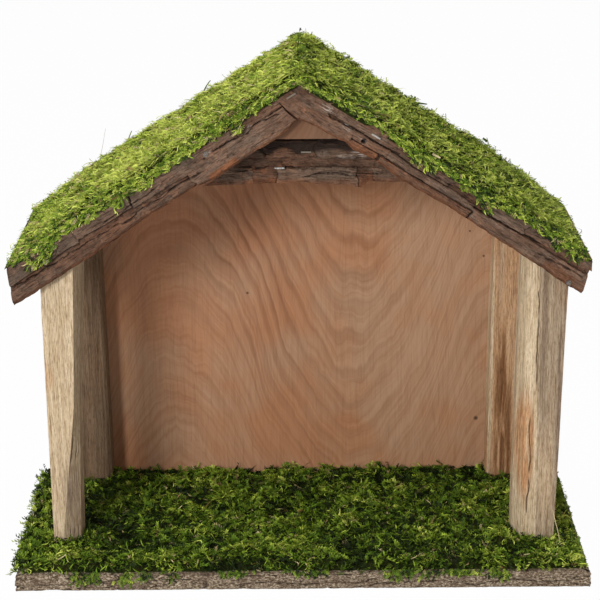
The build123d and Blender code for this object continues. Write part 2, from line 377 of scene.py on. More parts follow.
def grain_group():
    """Streaks that run along Z: fine fibres, broad bands and dark pores."""
    sockets = [("Place", "NodeSocketVector"), ("Across", "NodeSocketFloat"), ("Along", "NodeSocketFloat")]
    tree, given, result = new_group("wood_grain", sockets, ["Fibres", "Bands", "Pores"])
    scale = joined_place(tree, given.outputs["Across"], given.outputs["Across"], given.outputs["Along"])
    links = {0: given.outputs["Place"], 1: scale}
    place = add(tree, "ShaderNodeVectorMath", links, operation="MULTIPLY").outputs[0]
    fibres = cloud(tree, place, 1.0, 3.0, 0.6, 0.3)
    bands = cloud(tree, place, 0.22, 2.0, 0.5, 0.6)
    pores = between(tree, cloud(tree, place, 2.2, 1.0), 0.6, 0.72)
    for label, value in (("Fibres", fibres), ("Bands", bands), ("Pores", pores)):
        tree.links.new(value, result.inputs[label])
    return tree


FLAME_WANDER = 3.4
FLAME_RIPPLE = 0.9


def flame_group():
    """Arched bands of sliced veneer, which rise to a peak and fall again along X.

    Height is how high a point's arch stands at the peak, Path counts the bands, and Bands runs from 0 to 1
    over each of them.
    """
    sockets = [("Place", "NodeSocketVector"), ("Peak", "NodeSocketFloat"), ("Span", "NodeSocketFloat"),
               ("Rise", "NodeSocketFloat"), ("Step", "NodeSocketFloat")]
    tree, given, result = new_group("flame_grain", sockets, ["Bands", "Height", "Path"])
    place = split_place(tree, given.outputs["Place"])
    wander = cloud(tree, stretched(tree, given.outputs["Place"], (14, 14, 7)), 1.0, 2.0, 0.5)
    ripple = cloud(tree, stretched(tree, given.outputs["Place"], (80, 80, 22)), 1.0, 3.0, 0.55)
    aside = sum_of(tree, "SUBTRACT", place["X"], given.outputs["Peak"])
    turn = sum_of(tree, "DIVIDE", sum_of(tree, "MULTIPLY", aside, math.tau), given.outputs["Span"])
    fall = sum_of(tree, "SUBTRACT", 1.0, sum_of(tree, "COSINE", turn))
    height = sum_of(tree, "ADD", place["Z"], sum_of(tree, "MULTIPLY", fall, given.outputs["Rise"]))
    path = sum_of(tree, "DIVIDE", height, given.outputs["Step"])
    path = sum_of(tree, "ADD", path, sum_of(tree, "MULTIPLY", wander, FLAME_WANDER))
    path = sum_of(tree, "ADD", path, sum_of(tree, "MULTIPLY", ripple, FLAME_RIPPLE))
    for label, value in (("Bands", sum_of(tree, "FRACT", path)), ("Height", height), ("Path", path)):
        tree.links.new(value, result.inputs[label])
    return tree


def placed(tree, group, links):
    """A node group placed in a tree."""
    return add(tree, "ShaderNodeGroup", links, node_tree=group).outputs


GRAIN = grain_group()
FLAME = flame_group()


def moss_shoot_finish():
    """Shoots: the map's first axis picks the tone; its second darkens roots and ends as painted shade."""
    material, tree, shader = new_finish("moss_shoots", 0.7, 0.2)
    axes = split_place(tree, add(tree, "ShaderNodeUVMap", uv_map=BAKE_MAP).outputs[0])
    tone = shades(tree, axes[0], [
        (0.0, paint(28, 40, 7)), (0.25, paint(96, 128, 28)), (0.5, paint(148, 174, 54)),
        (0.72, paint(194, 210, 80)), (0.82, paint(216, 224, 108)), (0.9, paint(140, 112, 58)),
        (0.97, paint(222, 204, 156))])
    painted_root_shade = [(0.0, paint(58, 62, 46)), (0.4, paint(182, 184, 172)), (0.8, WHITE)]
    dress(tree, shader, tinted(tree, tone, axes[1], painted_root_shade))
    return material


def moss_mat_finish():
    """The dark, matted layer that the shoots grow from; its darkness is partly painted shade between shoots.
    """
    material, tree, shader = new_finish("moss_mat", 0.95, 0.1)
    place = object_place(tree)
    fine = cloud(tree, place, 700.0, 3.0, 0.6)
    broad = cloud(tree, place, 90.0, 2.0)
    tone = shades(tree, fine, [(0.3, paint(16, 20, 4)), (0.55, paint(34, 42, 11)), (0.75, paint(66, 72, 22))])
    tone = blend(tree, between(tree, broad, 0.5, 0.7, 0.0, 0.5), tone, paint(46, 38, 18))
    dress(tree, shader, tone, bumped(tree, fine, 0.6 * MM))
    return material


def bark_finish():
    """Pine bark: grey outer plates, red inner layers, pale flecks, and painted shade in its cracks and
    hollows.
    """
    material, tree, shader = new_finish("pine_bark", 0.85, 0.25)
    place = object_place(tree)
    flow = joined_place(tree, kept(tree, "along"), kept(tree, "below"))
    fine = cloud(tree, place, 900.0, 4.0, 0.65)
    fibres = cloud(tree, stretched(tree, flow, (170, 1300, 1)), 1.0, 4.0, 0.65, 0.4)
    broad = cloud(tree, place, 110.0, 3.0, 0.55)
    grey = shades(tree, broad, [(0.3, paint(112, 94, 80)), (0.7, paint(150, 130, 114))])
    rust = shades(tree, broad, [(0.3, paint(124, 80, 54)), (0.7, paint(158, 106, 74))])
    tone = blend(tree, kept(tree, "red"), grey, rust)
    tone = tinted(tree, tone, fine, [(0.2, paint(176, 170, 166)), (0.7, WHITE)])
    tone = tinted(tree, tone, fibres, [(0.34, paint(158, 148, 140)), (0.5, WHITE)])
    # Lightness of the plates, with the painted highlight on what stands proud
    light = between(tree, kept(tree, "light"), -1.0, 1.0)
    light = shades(tree, light, [(0.0, paint(60, 56, 54)), (1.0, paint(206, 200, 194))])
    tone = blend(tree, 0.8, tone, light, "OVERLAY")
    # Painted shade in hollows, seams and the scar, and the collar's painted shadow
    tone = blend(tree, between(tree, kept(tree, "cavity"), 0.08, 0.85), tone, paint(40, 27, 19))
    flecks = sum_of(tree, "MULTIPLY", kept(tree, "lichen"), between(tree, fibres, 0.5, 0.6))
    tone = blend(tree, sum_of(tree, "MULTIPLY", flecks, 0.75), tone, paint(186, 178, 168))
    dress(tree, shader, tone, bumped(tree, sum_of(tree, "ADD", fine, fibres), 0.3 * MM),
          between(tree, fine, 0.3, 0.7, 0.72, 0.95))
    return material


def post_finish():
    """Rough-sawn post: cream wood that weathers grey, with stains and streaks, and painted shade in its
    grooves.
    """
    material, tree, shader = new_finish("rough_post_wood", 0.85, 0.2)
    place = object_place(tree)
    grain = placed(tree, GRAIN, {"Place": place, "Across": 1400.0, "Along": 60.0})
    hairs = cloud(tree, stretched(tree, place, (2200, 2200, 260)), 1.0, 4.0, 0.7)
    cream = shades(tree, grain["Bands"], [(0.3, paint(206, 184, 152)), (0.65, paint(224, 204, 173))])
    grey = shades(tree, grain["Bands"], [(0.3, paint(142, 123, 104)), (0.65, paint(172, 151, 130))])
    rust = shades(tree, grain["Bands"], [(0.3, paint(180, 130, 90)), (0.65, paint(210, 164, 121))])
    tone = blend(tree, kept(tree, "weathered"), cream, grey)
    tone = blend(tree, kept(tree, "stain"), tone, rust)
    tone = tinted(tree, tone, grain["Fibres"],
                  [(0.3, paint(192, 180, 166)), (0.46, paint(240, 235, 228)), (0.56, WHITE)])
    tone = tinted(tree, tone, hairs, [(0.36, paint(200, 191, 180)), (0.52, WHITE)])
    # Darkens the wood; on the back-left post this is painted shade
    tone = blend(tree, kept(tree, "dull"), tone, blend(tree, 1.0, tone, paint(176, 166, 156), "MULTIPLY"))
    tone = blend(tree, sum_of(tree, "MULTIPLY", grain["Pores"], 0.4), tone, paint(104, 82, 62))
    # Painted shade in the grooves and splits
    tone = blend(tree, between(tree, kept(tree, "cavity"), 0.14, 0.8, 0.0, 0.8), tone, paint(76, 57, 41))
    relief = sum_of(tree, "ADD", grain["Fibres"], sum_of(tree, "MULTIPLY", hairs, 0.5))
    dress(tree, shader, tone, bumped(tree, relief, 0.5 * MM),
          between(tree, grain["Fibres"], 0.3, 0.7, 0.75, 0.95))
    return material


# Plywood: how wide, high and close the arches of its grain are, between which heights they show fully, and
# between which x the tones turn from the left's, which are painted shade on the back panel, to the right's
FLAME_SPAN = 230 * MM
FLAME_RISE = 85 * MM
FLAME_STEP = 19 * MM
FLAME_HEART = (130 * MM, 165 * MM)
FLAME_FADE = (80 * MM, 190 * MM)
PAINTED_SHADE_TURN = (-35 * MM, 40 * MM)
RINGS_TO_BAND = 4.5
RING_BREAKS = 22.0
BAND_SHADES = [(0.0, (0, 0, 0, 1)), (0.5, (0.35, 0.35, 0.35, 1)), (0.84, (1, 1, 1, 1)),
               (0.97, (0.05, 0.05, 0.05, 1))]


def plywood_finish(name, peak, turn, tones, knots=()):
    """Sanded plywood; turn lays the grain along Z before it is drawn, and peak is where its arches stand.

    tones are the dark and pale wood at the left and at the right; left ones that are darker are painted
    shade.
    knots are (x, z, radius) of dark specks.
    """
    material, tree, shader = new_finish(name, 0.6, 0.3)
    place = stretched(tree, object_place(tree), (1, 1, 1), turn)
    links = {"Place": place, "Peak": peak, "Span": FLAME_SPAN, "Rise": FLAME_RISE, "Step": FLAME_STEP}
    flame = placed(tree, FLAME, links)
    grain = placed(tree, GRAIN, {"Place": place, "Across": 700.0, "Along": 34.0})
    axes = split_place(tree, place)
    out_of_painted_shade = between(tree, axes["X"], *PAINTED_SHADE_TURN)
    dark = blend(tree, out_of_painted_shade, tones[0], tones[2])
    pale = blend(tree, out_of_painted_shade, tones[1], tones[3])
    shadow = shades(tree, flame["Bands"], BAND_SHADES)
    drifts = cloud(tree, stretched(tree, place, (1, 1, 0.5)), 22.0, 2.0)
    heart = between(tree, flame["Height"], *FLAME_HEART, 0.3, 1.0)
    heart = sum_of(tree, "MULTIPLY", heart, between(tree, axes["Z"], *FLAME_FADE, 0.5, 1.0))
    heart = sum_of(tree, "MULTIPLY", between(tree, drifts, 0.36, 0.62, 0.15, 1.0), heart)
    tone = blend(tree, sum_of(tree, "MULTIPLY", shadow, heart), pale, dark)
    warm = between(tree, cloud(tree, place, 24.0, 2.0), 0.4, 0.62, 0.0, 0.7)
    tone = blend(tree, warm, tone, blend(tree, 1.0, tone, paint(255, 226, 202), "MULTIPLY"))
    turns = joined_place(tree, sum_of(tree, "MULTIPLY", flame["Path"], RINGS_TO_BAND),
                         sum_of(tree, "MULTIPLY", axes["X"], RING_BREAKS))
    rings = cloud(tree, turns, 1.0, 3.0, 0.6)
    tone = tinted(tree, tone, rings, [(0.34, paint(238, 229, 221)), (0.58, WHITE)])
    tone = tinted(tree, tone, grain["Fibres"], [(0.3, paint(242, 238, 234)), (0.58, WHITE)])
    tone = blend(tree, sum_of(tree, "MULTIPLY", grain["Pores"], 0.18), tone, paint(104, 70, 48))
    level = joined_place(tree, axes["X"], 0.0, axes["Z"])
    for x, z, radius in knots:
        links = {0: level, 1: (x * MM, 0.0, z * MM)}
        reach = add(tree, "ShaderNodeVectorMath", links, operation="DISTANCE").outputs["Value"]
        speck = between(tree, reach, 0.4 * radius * MM, radius * MM, 0.85, 0.0)
        tone = blend(tree, speck, tone, paint(62, 40, 28))
    dress(tree, shader, tone, bumped(tree, grain["Fibres"], 0.08 * MM),
          between(tree, grain["Fibres"], 0.3, 0.7, 0.52, 0.7))
    return material


def board_finish():
    """Weathered board: grey-brown rough edge with pale flecks and dark pits, and painted shade in its
    hollows.
    """
    material, tree, shader = new_finish("weathered_board", 0.9, 0.2)
    along = stretched(tree, object_place(tree), (0.55, 0.55, 1.0))
    fine = cloud(tree, along, 1300.0, 4.0, 0.75)
    broad = cloud(tree, along, 150.0, 3.0, 0.6)
    tone = shades(tree, fine, [(0.38, paint(56, 42, 28)), (0.48, paint(114, 97, 78)),
                               (0.56, paint(158, 141, 120)), (0.64, paint(200, 186, 162))])
    tone = blend(tree, between(tree, broad, 0.45, 0.7, 0.0, 0.55), tone, paint(92, 72, 58))
    # Painted shade in the pits and cracks
    tone = blend(tree, between(tree, kept(tree, "cavity"), 0.1, 0.8), tone, paint(44, 32, 24))
    dress(tree, shader, tone, bumped(tree, fine, 0.5 * MM))
    return material


# The tone that staples take above a given height
DARKER_ABOVE_TONE = paint(122, 114, 102)


def steel_finish(name, dark, pale, bright_below=1.0):
    """Dull wire or nails, a little tarnished, and darker above a height in metres."""
    material, tree, shader = new_finish(name, 0.45, 0.5)
    shader.inputs["Metallic"].default_value = 1.0
    place = object_place(tree)
    cloudy = cloud(tree, place, 1500.0, 3.0, 0.6)
    tone = shades(tree, cloudy, [(0.35, dark), (0.6, pale)])
    height = split_place(tree, place)["Z"]
    tone = blend(tree, between(tree, height, bright_below, bright_below + MM), tone, DARKER_ABOVE_TONE)
    dress(tree, shader, tone, roughness=between(tree, cloudy, 0.3, 0.7, 0.6, 0.35))
    return material


SHOOT_FINISH = moss_shoot_finish()
MAT_FINISH = moss_mat_finish()
BARK_FINISH = bark_finish()
POST_FINISH = post_finish()


# Posts: sections as (x, y) corners in millimetres at the foot and at the head, as in the solids, and at the
# waist where a post has one. weathered has a value for each side, from its corner to the next; stain is how
# red the wood is, and the last value is how dark it is, which on the back-left post is painted shade.
POST_HEAD_HEIGHT = 215.0 * MM
POST_WAIST_HEIGHT = 100.0 * MM
FRONT_FACE = -40.5
FRONT_BACK = -20.0
PANEL_FRONT = 66.6
POSTS = {
    "front_left_post": {
        "foot": [(-145.8, -40.0), (-140.8, FRONT_FACE), (-130.0, -36.0), (-129.5, FRONT_BACK),
                 (-145.9, FRONT_BACK)],
        "waist": [(-145.9, -40.0), (-130.0, FRONT_FACE), (-127.6, -31.0), (-127.2, FRONT_BACK),
                  (-145.9, FRONT_BACK)],
        "head": [(-145.8, -40.0), (-125.5, FRONT_FACE), (-121.0, -31.0), (-120.5, FRONT_BACK),
                 (-145.8, FRONT_BACK)],
        "weathered": [0.05, 0.4, 0.5, 0.4, 0.2], "stain": 0.0, "dull": 0.0},
    "front_right_post": {
        "foot": [(123.0, -27.0), (128.4, -37.5), (136.4, FRONT_FACE), (147.4, -39.6), (147.6, FRONT_BACK),
                 (122.6, FRONT_BACK)],
        "head": [(124.6, -27.0), (126.8, -34.0), (133.0, FRONT_FACE), (150.8, -39.8), (151.0, FRONT_BACK),
                 (124.2, FRONT_BACK)],
        "weathered": [0.0, 0.0, 0.7, 0.4, 0.4, 0.3], "stain": 0.0, "dull": 0.0},
    # The back-left post is painted dark and grey as shade, by its last value and its high weathered values
    "back_left_post": {
        "foot": [(-145.0, 49.4), (-121.5, 48.6), (-119.6, 50.2), (-119.6, PANEL_FRONT),
                 (-145.0, PANEL_FRONT)],
        "head": [(-145.0, 49.0), (-123.5, 48.6), (-122.0, 50.0), (-122.0, PANEL_FRONT),
                 (-145.0, PANEL_FRONT)],
        "weathered": [0.9, 0.9, 0.5, 0.4, 0.3], "stain": 0.1, "dull": 0.95},
    "back_right_post": {
        "foot": [(116.0, 50.0), (118.0, 48.6), (145.0, 49.4), (145.0, PANEL_FRONT), (116.0, PANEL_FRONT)],
        "head": [(117.8, 50.0), (119.8, 48.6), (145.0, 49.0), (145.0, PANEL_FRONT), (117.8, PANEL_FRONT)],
        "weathered": [0.0, 0.2, 0.4, 0.4, 0.3], "stain": 0.75, "dull": 0.0},
}
# Splits as (x at the foot, x at the head, lowest, highest, width, depth), in millimetres, on the front faces
POST_SPLITS = {
    "front_left_post": [(-136.0, -132.0, 12.0, 70.0, 0.4, 0.9), (-133.6, -129.6, 12.0, 90.0, 0.4, 1.1),
                        (-131.4, -127.4, 14.0, 80.0, 0.4, 1.0)],
    "front_right_post": [(134.6, 132.6, 95.0, 190.0, 0.5, 1.4), (131.5, 130.5, 24.0, 96.0, 0.5, 1.3)],
}
# Patches on the faces seen from the front: x, height, half width and half height in millimetres, then how
# much greyer, redder and darker they are
POST_PATCHES = {
    "front_left_post": [(-144.0, 118.0, 4.0, 12.0, 0.0, 0.5, 0.0), (-134.0, 40.0, 6.0, 42.0, 0.6, 0.0, 0.15)],
    "front_right_post": [(128.5, 72.0, 6.5, 42.0, 0.0, 1.4, 0.0), (137.0, 150.0, 2.0, 60.0, 0.5, 0.0, 0.3),
                         (148.0, 110.0, 3.0, 70.0, 0.6, -0.3, 0.35), (141.0, 50.0, 6.0, 50.0, -0.4, 0.1, 0.0),
                         (146.5, 168.0, 5.0, 14.0, 0.0, 0.4, 0.4)],
    "back_right_post": [(117.5, 90.0, 1.6, 110.0, -0.5, -1.0, 0.0), (124.0, 60.0, 4.5, 75.0, 0.0, 0.6, 1.2),
                        (128.5, 40.0, 4.0, 60.0, 0.0, 0.5, 1.1), (122.0, 160.0, 3.0, 50.0, 0.2, -0.4, 0.0)],
}
POST_COLUMN = 0.5 * MM
POST_ROWS = 150
# Roughness as (strength, cell round the post, cell up it), in millimetres where it is a depth
POST_GROOVES = (0.4, 0.9, 14.0)
POST_HOLLOWS = (0.3, 9.0, 40.0)
POST_WEATHER = (0.4, 4.0, 60.0)
POST_STAIN = (0.3, 7.0, 45.0)
PATCH_STREAKS = (2.2, 1.5, 25.0)
PATCH_GAPS = 0.3
# That of the splits runs up the post, so its first cell counts that way and its second has no effect
SPLIT_WANDER = (2.4, 16.0, 1.0)
SPLIT_BREAKS = (3.0, 9.0, 1.0)
SPLIT_GAPS = 0.5
SPLIT_ENDS = 12.0
CUT_END_RELIEF = 0.3
POST_CAVITY = 1.6
POST_BLUR = 6
FRONTWARD = -0.1


def wrapped_sheet(foot, head, spacing, rows):
    """A sheet to be wrapped round a post or board, with its number of columns.

    Each vertex gets its side, its place along that side and its height, these two from 0 to 1.
    """
    foot, head = np.array(foot) * MM, np.array(head) * MM
    lengths = np.linalg.norm(np.roll(foot, -1, axis=0) - foot, axis=1)
    lengths = np.maximum(lengths, np.linalg.norm(np.roll(head, -1, axis=0) - head, axis=1))
    counts = np.maximum(np.ceil(lengths / spacing).astype(int), 2)
    side = np.repeat(np.arange(len(counts)), counts)
    along = np.concatenate([np.arange(count) / count for count in counts])
    side, along = np.append(side, 0), np.append(along, 0.0)
    bm, across, up = sheet(len(side) - 1, rows)
    column = np.rint(across * (len(side) - 1)).astype(int)
    return bm, side[column], along[column], up, len(side)


def ring_places(corners, side, along):
    """Points on a polygon's outline, and the way out of it there."""
    corners = np.array(corners) * MM
    following = np.roll(corners, -1, axis=0)
    points = corners[side] + along[:, None] * (following[side] - corners[side])
    run = following - corners
    out = np.stack([run[:, 1], -run[:, 0]], axis=1)
    out /= np.linalg.norm(out, axis=1, keepdims=True)
    before = np.roll(out, 1, axis=0)
    ways = np.where(along[:, None] == 0, out[side] + before[side], out[side])
    return points, ways / np.linalg.norm(ways, axis=1, keepdims=True)


def sink(bm, spot, out, z, sunk):
    """Wraps a sheet round its outline, sunk below it by a number of millimetres."""
    inward = sunk * MM
    shape(bm, spot[:, 0] - out[:, 0] * inward, spot[:, 1] - out[:, 1] * inward, z)


def split_depths(name, x, tall, rise, seed):
    """How deep a post's splits are at each point, in millimetres."""
    depths = np.zeros(len(x))
    for foot_x, head_x, lowest, highest, width, depth in POST_SPLITS.get(name, []):
        middle = foot_x + rise * (head_x - foot_x) + waver(seed + 30, tall, 0 * tall, SPLIT_WANDER)
        ends = ease((tall - lowest) / SPLIT_ENDS) * ease((highest - tall) / SPLIT_ENDS)
        ends = ends * ease(rough(seed + 33, tall, 0 * tall, SPLIT_BREAKS, 1) - SPLIT_GAPS)
        depths = np.maximum(depths, depth * np.clip(1 - np.abs(x - middle) / width, 0, 1) * ends)
    return depths


def make_post(name, post, seed):
    """A split and rough-sawn post that is cut off under the roof."""
    bm, side, along, up, columns = wrapped_sheet(post["foot"], post["head"], POST_COLUMN, POST_ROWS)
    low, out = ring_places(post["foot"], side, along)
    high, _ = ring_places(post["head"], side, along)
    z = BASE_TOP + up * (roof_under(high[:, 0]) - BASE_TOP)
    rise = (z - BASE_TOP) / (POST_HEAD_HEIGHT - BASE_TOP)
    spot = low + rise[:, None] * (high - low)
    if "waist" in post:
        waist, _ = ring_places(post["waist"], side, along)
        below = np.clip((z - BASE_TOP) / (POST_WAIST_HEIGHT - BASE_TOP), 0, 1)[:, None]
        above = np.clip((z - POST_WAIST_HEIGHT) / (POST_HEAD_HEIGHT - POST_WAIST_HEIGHT), 0, 1)[:, None]
        spot = low + below * (waist - low) + above * (high - waist)
    x, tall = spot[:, 0] / MM, z / MM
    girth = (spot[:, 0] - spot[:, 1]) / MM
    sunk = rough(seed, girth, tall, POST_GROOVES) + rough(seed + 20, girth, tall, POST_HOLLOWS, 1)
    sunk = sunk + split_depths(name, x, tall, rise, seed) * (out[:, 1] < FRONTWARD)
    weathered = np.array(post["weathered"])[side] + waver(seed + 40, girth, tall, POST_WEATHER)
    stain = post["stain"] + waver(seed + 50, girth, tall, POST_STAIN)
    dull = np.full(len(z), post["dull"])
    for middle, centre, half_width, half_height, grey, red, dark in POST_PATCHES.get(name, []):
        patch = spot_mark(x, tall, middle, centre, half_width, half_height)
        patch = patch * ease(rough(seed + 60, girth, tall, PATCH_STREAKS) - PATCH_GAPS)
        weathered = weathered + grey * patch
        stain = stain + red * patch
        dull = dull + dark * patch
    # Painted shade: grooves and splits are darkened where they sink below their surroundings
    cavity = np.clip((sunk - blurred(sunk, columns, POST_BLUR)) * POST_CAVITY, 0, 1)
    sink(bm, spot, out, z, sunk * np.where((up == 0) | (up == 1), CUT_END_RELIEF, 1.0))
    mark(bm, weathered=np.clip(weathered, 0, 1), stain=np.clip(stain, 0, 1), dull=np.clip(dull, 0, 1),
         cavity=cavity)
    bmesh.ops.remove_doubles(bm, verts=bm.verts, dist=SEAM_MERGE)
    bmesh.ops.holes_fill(bm, edges=rim_of(bm), sides=0)
    show_relief(name + "_wood", bm, (1, 1, 0.1), POST_FINISH, "post_wood", name)


for number, (name, post) in enumerate(POSTS.items()):
    make_post(name, post, 100 * number + 3)


# Bark. A plate is (start, end, upper edge, lower edge, height, red, light): along the grain and across it, in
# millimetres, then how far it stands from the strip's back, how red it is and how light.
BARK_BACK = -40.5 * MM
BARK_DEPTH = 8.0
COLLAR_BACK = -23.0 * MM
COLLAR_DEPTH = 6.0
COLLAR_TOP = 260.0
LAP_REACH = 12.6
LAP_FOOT = 0.8
LAP_TIP = 0.6
# Where each strip ends at the eave, at its top and at its foot
LEFT_END = (-162.5, -160.0)
RIGHT_END = (161.5, 156.3)
# Lower edges as (distance out from the ridge, drop below the roof line), in millimetres
LEFT_LOWER_EDGE = [(0.8, 18.9), (12.8, 21.8), (22.3, 21.0), (35.4, 22.6), (50.9, 23.2), (56.3, 20.8),
                   (88.0, 21.5), (104.0, 23.2), (121.5, 23.4), (133.0, 24.2), (160.0, 24.3)]
RIGHT_LOWER_EDGE = [(-12.6, 0.0), (-0.8, 18.9), (7.6, 17.4), (20.7, 17.0), (24.9, 16.2), (29.0, 17.9),
                    (39.8, 15.9), (52.8, 18.6), (82.1, 17.9), (107.7, 19.8), (126.8, 20.8), (149.0, 22.3),
                    (156.3, 21.6)]
# How far the right strip stands up in front of the moss, as (x, rise above the roof line)
RIGHT_UPPER_EDGE = [(13, -0.5), (18, 2.6), (30, 4.0), (44, 4.0), (52, 2.6), (60, -0.5)]
# The collar's lower edge as (x, height)
COLLAR_LOWER_EDGE = [(-51.5, 226.6), (-16.0, 227.6), (0.0, 228.4), (30.0, 226.2), (34.0, 224.8),
                     (38.0, 228.0)]
LEFT_PLATES = [
    (8, 78, 5.5, 22, 7.8, 0.25, 0.2), (49, 69, 14.6, 22, 8.5, 1.0, 0.15), (12, 46, -2, 5.2, 6.6, 0.35, 0.15),
    (24, 62, 3.0, 7.0, 6.0, 0.3, 0.0), (46, 72, -2, 6.0, 6.9, 0.3, 0.0), (71, 112, -2, 9.5, 7.5, 0.15, 0.0),
    (113, 150, -2, 8.5, 7.2, 0.2, -0.05), (150, 200, -2, 10.0, 7.6, 0.15, -0.25),
    (78, 126, 11.5, 24, 6.4, 0.4, -0.1), (122, 172, 11.0, 24, 6.2, 0.45, -0.15),
    (168, 204, 12.5, 24, 6.9, 0.3, -0.25)]
RIGHT_PLATES = [
    (-14, 40, 6.5, 22, 7.8, 0.45, 0.25), (-14, 22, -9, 7.5, 7.2, 0.4, -0.1), (20, 66, -4, 4.6, 6.8, 0.3, 0.3),
    (66, 100, -2, 5.5, 7.0, 0.25, -0.1), (100, 122, -2, 4.5, 6.6, 0.55, 0.0),
    (122, 150, -2, 7.0, 7.6, 0.1, 0.2), (150, 204, -2, 6.0, 6.9, 0.3, 0.0),
    (38, 62, 5.5, 10.0, 6.9, 0.45, 0.2), (62, 118, 6.0, 9.6, 7.2, 0.2, 0.1),
    (38, 56, 10.6, 22, 6.9, 0.75, 0.15), (58, 117, 10.5, 22, 7.3, 0.7, 0.05),
    (118, 204, 8.0, 24, 7.4, 0.3, 0.1), (168, 204, 12.0, 24, 7.8, 0.6, 0.0)]
COLLAR_PLATES = [
    (-90, -21, 2, 17, 4.8, 0.35, -0.2), (-20, 9, 7, 17, 5.7, 0.55, 0.15), (9, 90, 5, 17.5, 5.3, 0.25, 0.0),
    (-90, -26, 22.5, 38, 5.0, 0.3, 0.0), (-26, -12, 24, 38, 4.7, 0.75, 0.0),
    (-12, 32, 23, 38, 5.8, 0.15, 0.45), (32, 41, 25, 40, 5.0, 0.75, 0.0), (41, 90, 23, 38, 5.3, 0.25, 0.1)]
# Deep seams between the layers, each as (along, across) points in millimetres
LEFT_SEAMS = [[(66, 12.0), (97, 12.0), (124, 12.6), (150, 12.2), (183, 11.8), (197, 12.6)],
              [(15, 7.2), (27, 5.4), (38, 6.8), (58, 5.4), (70, 6.2)], [(92, 5.5), (118, 7.0), (140, 6.2)]]
RIGHT_SEAMS = [[(112, 7.9), (134, 7.4), (162, 6.5)],
               [(88, 4.6), (105, 3.6), (116, 3.4)], [(160, 11.0), (176, 10.2), (192, 9.7)]]
COLLAR_SEAMS = [[(-37, 24.6), (-23, 24.1), (-9, 22.2), (6, 23.2), (21, 25.0), (34, 26.6), (48, 27.5)],
                [(0, 27.7), (11, 25.8), (25, 26.8), (37, 28.6)]]
# Pale flecks and the scar as (along, across, radius), and where fasteners bear on the bark as (x, z), all in
# millimetres
LEFT_FLECKS = [(62.0, 5.0, 4.0), (36.0, 5.0, 3.0)]
RIGHT_FLECKS = [(20.0, 2.5, 6.0), (34.0, 6.5, 4.0), (46.0, 8.0, 3.4)]
COLLAR_FLECKS = [(32.0, 16.0, 7.0), (24.0, 17.0, 4.5)]
SCAR = (46.0, 8.0, 1.7)
SCAR_DEPTH = 4.0
BARK_SEATS = [(-50.8, 250.2), (-140.5, 190.0), (148.6, 175.4), (-4.3, 281.9), (41.3, 259.4), (3.6, 246.2),
              (-11.1, 237.2)]
SEAT_REACH = 3.2
# Relief of the bark, as (strength, cell along the grain, cell across it) where it is rough. The strength of
# the flakes is the number of their layers.
BARK_FLOOR = 0.6
LEAST_RED = 0.35
LEAST_LIGHT = -0.35
FLOOR_SWELL = (0.12, 20.0, 3.0)
FLOOR_RED = (0.4, 18.0, 4.0)
FLOOR_LIGHT = (0.3, 12.0, 3.0)
PLATE_ENDS = (5.0, 9.0, 4.0)
PLATE_SIDES = (2.2, 13.0, 3.0)
PLATE_ROUNDING = 0.7
FLAKES = (8, 17.0, 5.0)
FLAKE_STEP = 0.45
FLAKE_RED = 0.3
FLAKE_LIGHT = 0.35
BARK_FIBRES = (1.0, 9.0, 0.9)
FIBRE_HEIGHT = 0.6
FIBRE_LIGHT = 0.4
BARK_SCALES = (1.0, 4.0, 2.2)
SCALE_HEIGHT = 0.5
SCALE_LIGHT = 0.6
RED_DRIFT = (0.4, 14.0, 3.0)
SEAM_DEPTH = 1.2
SEAM_WIDTH = 0.5
LEAST_SEAM = 0.35
SEAM_CORE = 1.3
SEAM_DARK = 0.25
SEAM_FRAY = (1.3, 2.5, 1.2)
SEAM_STRENGTH = (1.8, 5.0, 2.0)
SEAM_WANDER = (2.4, 8.0, 1.0)
SEAM_SWELL = (1.1, 6.0, 1.0)
SEAM_ENDS = 4.0
EDGE_FRAY = (1.0, 3.0, 1.0)
COLLAR_FRAY = (0.8, 4.0, 1.0)
# Raw lower edge and worn upper edge, as shares of a strip's width, and how far they fall away, of its depth;
# the raw edge is also redder and lighter
RAW_EDGE = 0.14
RAW_FALL = 0.3
RAW_RED = 0.6
RAW_LIGHT = 0.15
WORN_EDGE = 0.08
WORN_FALL = 0.12
THINNEST = 0.3
# Hollows are darkened with painted shade, and what stands proud is lightened with a painted highlight
BARK_BLUR = 10
HOLLOW_PAINTED_SHADE = 0.75
MOST_PROUD = 0.5
PROUD_PAINTED_LIGHT = 0.6
# The collar is darker than the other strips, and painted black as shadow from its top down to the shade's
# edge, left of where light reaches it
COLLAR_DARKER = 0.2
COLLAR_SHADE = 15.0
SHADE_WANDER = (5.0, 9.0, 1.0)
SHADE_BLEND = 4.0
COLLAR_LIT = 44.0
LIT_BLEND = 14.0


def seam_lines(along, across, seams, seed):
    """1 along the middle of each seam, which wanders and comes and goes, falling to 0 beside it."""
    total = np.zeros(len(along))
    across = across + waver(seed + 20, along, across, SEAM_FRAY)
    strength = rough(seed + 25, along, across, SEAM_STRENGTH)
    for number, seam in enumerate(seams):
        places, drops = zip(*seam)
        middle = np.interp(along, places, drops) + waver(seed + number, along, 0 * along, SEAM_WANDER)
        width = SEAM_WIDTH * (LEAST_SEAM + rough(seed + 10 + number, along, 0 * along, SEAM_SWELL, 1))
        ends = ease((along - places[0]) / SEAM_ENDS) * ease((places[-1] - along) / SEAM_ENDS)
        total = np.maximum(total, ends * np.clip(SEAM_CORE - np.abs(across - middle) / width, 0, 1))
    return np.clip(strength * total, 0, 1)


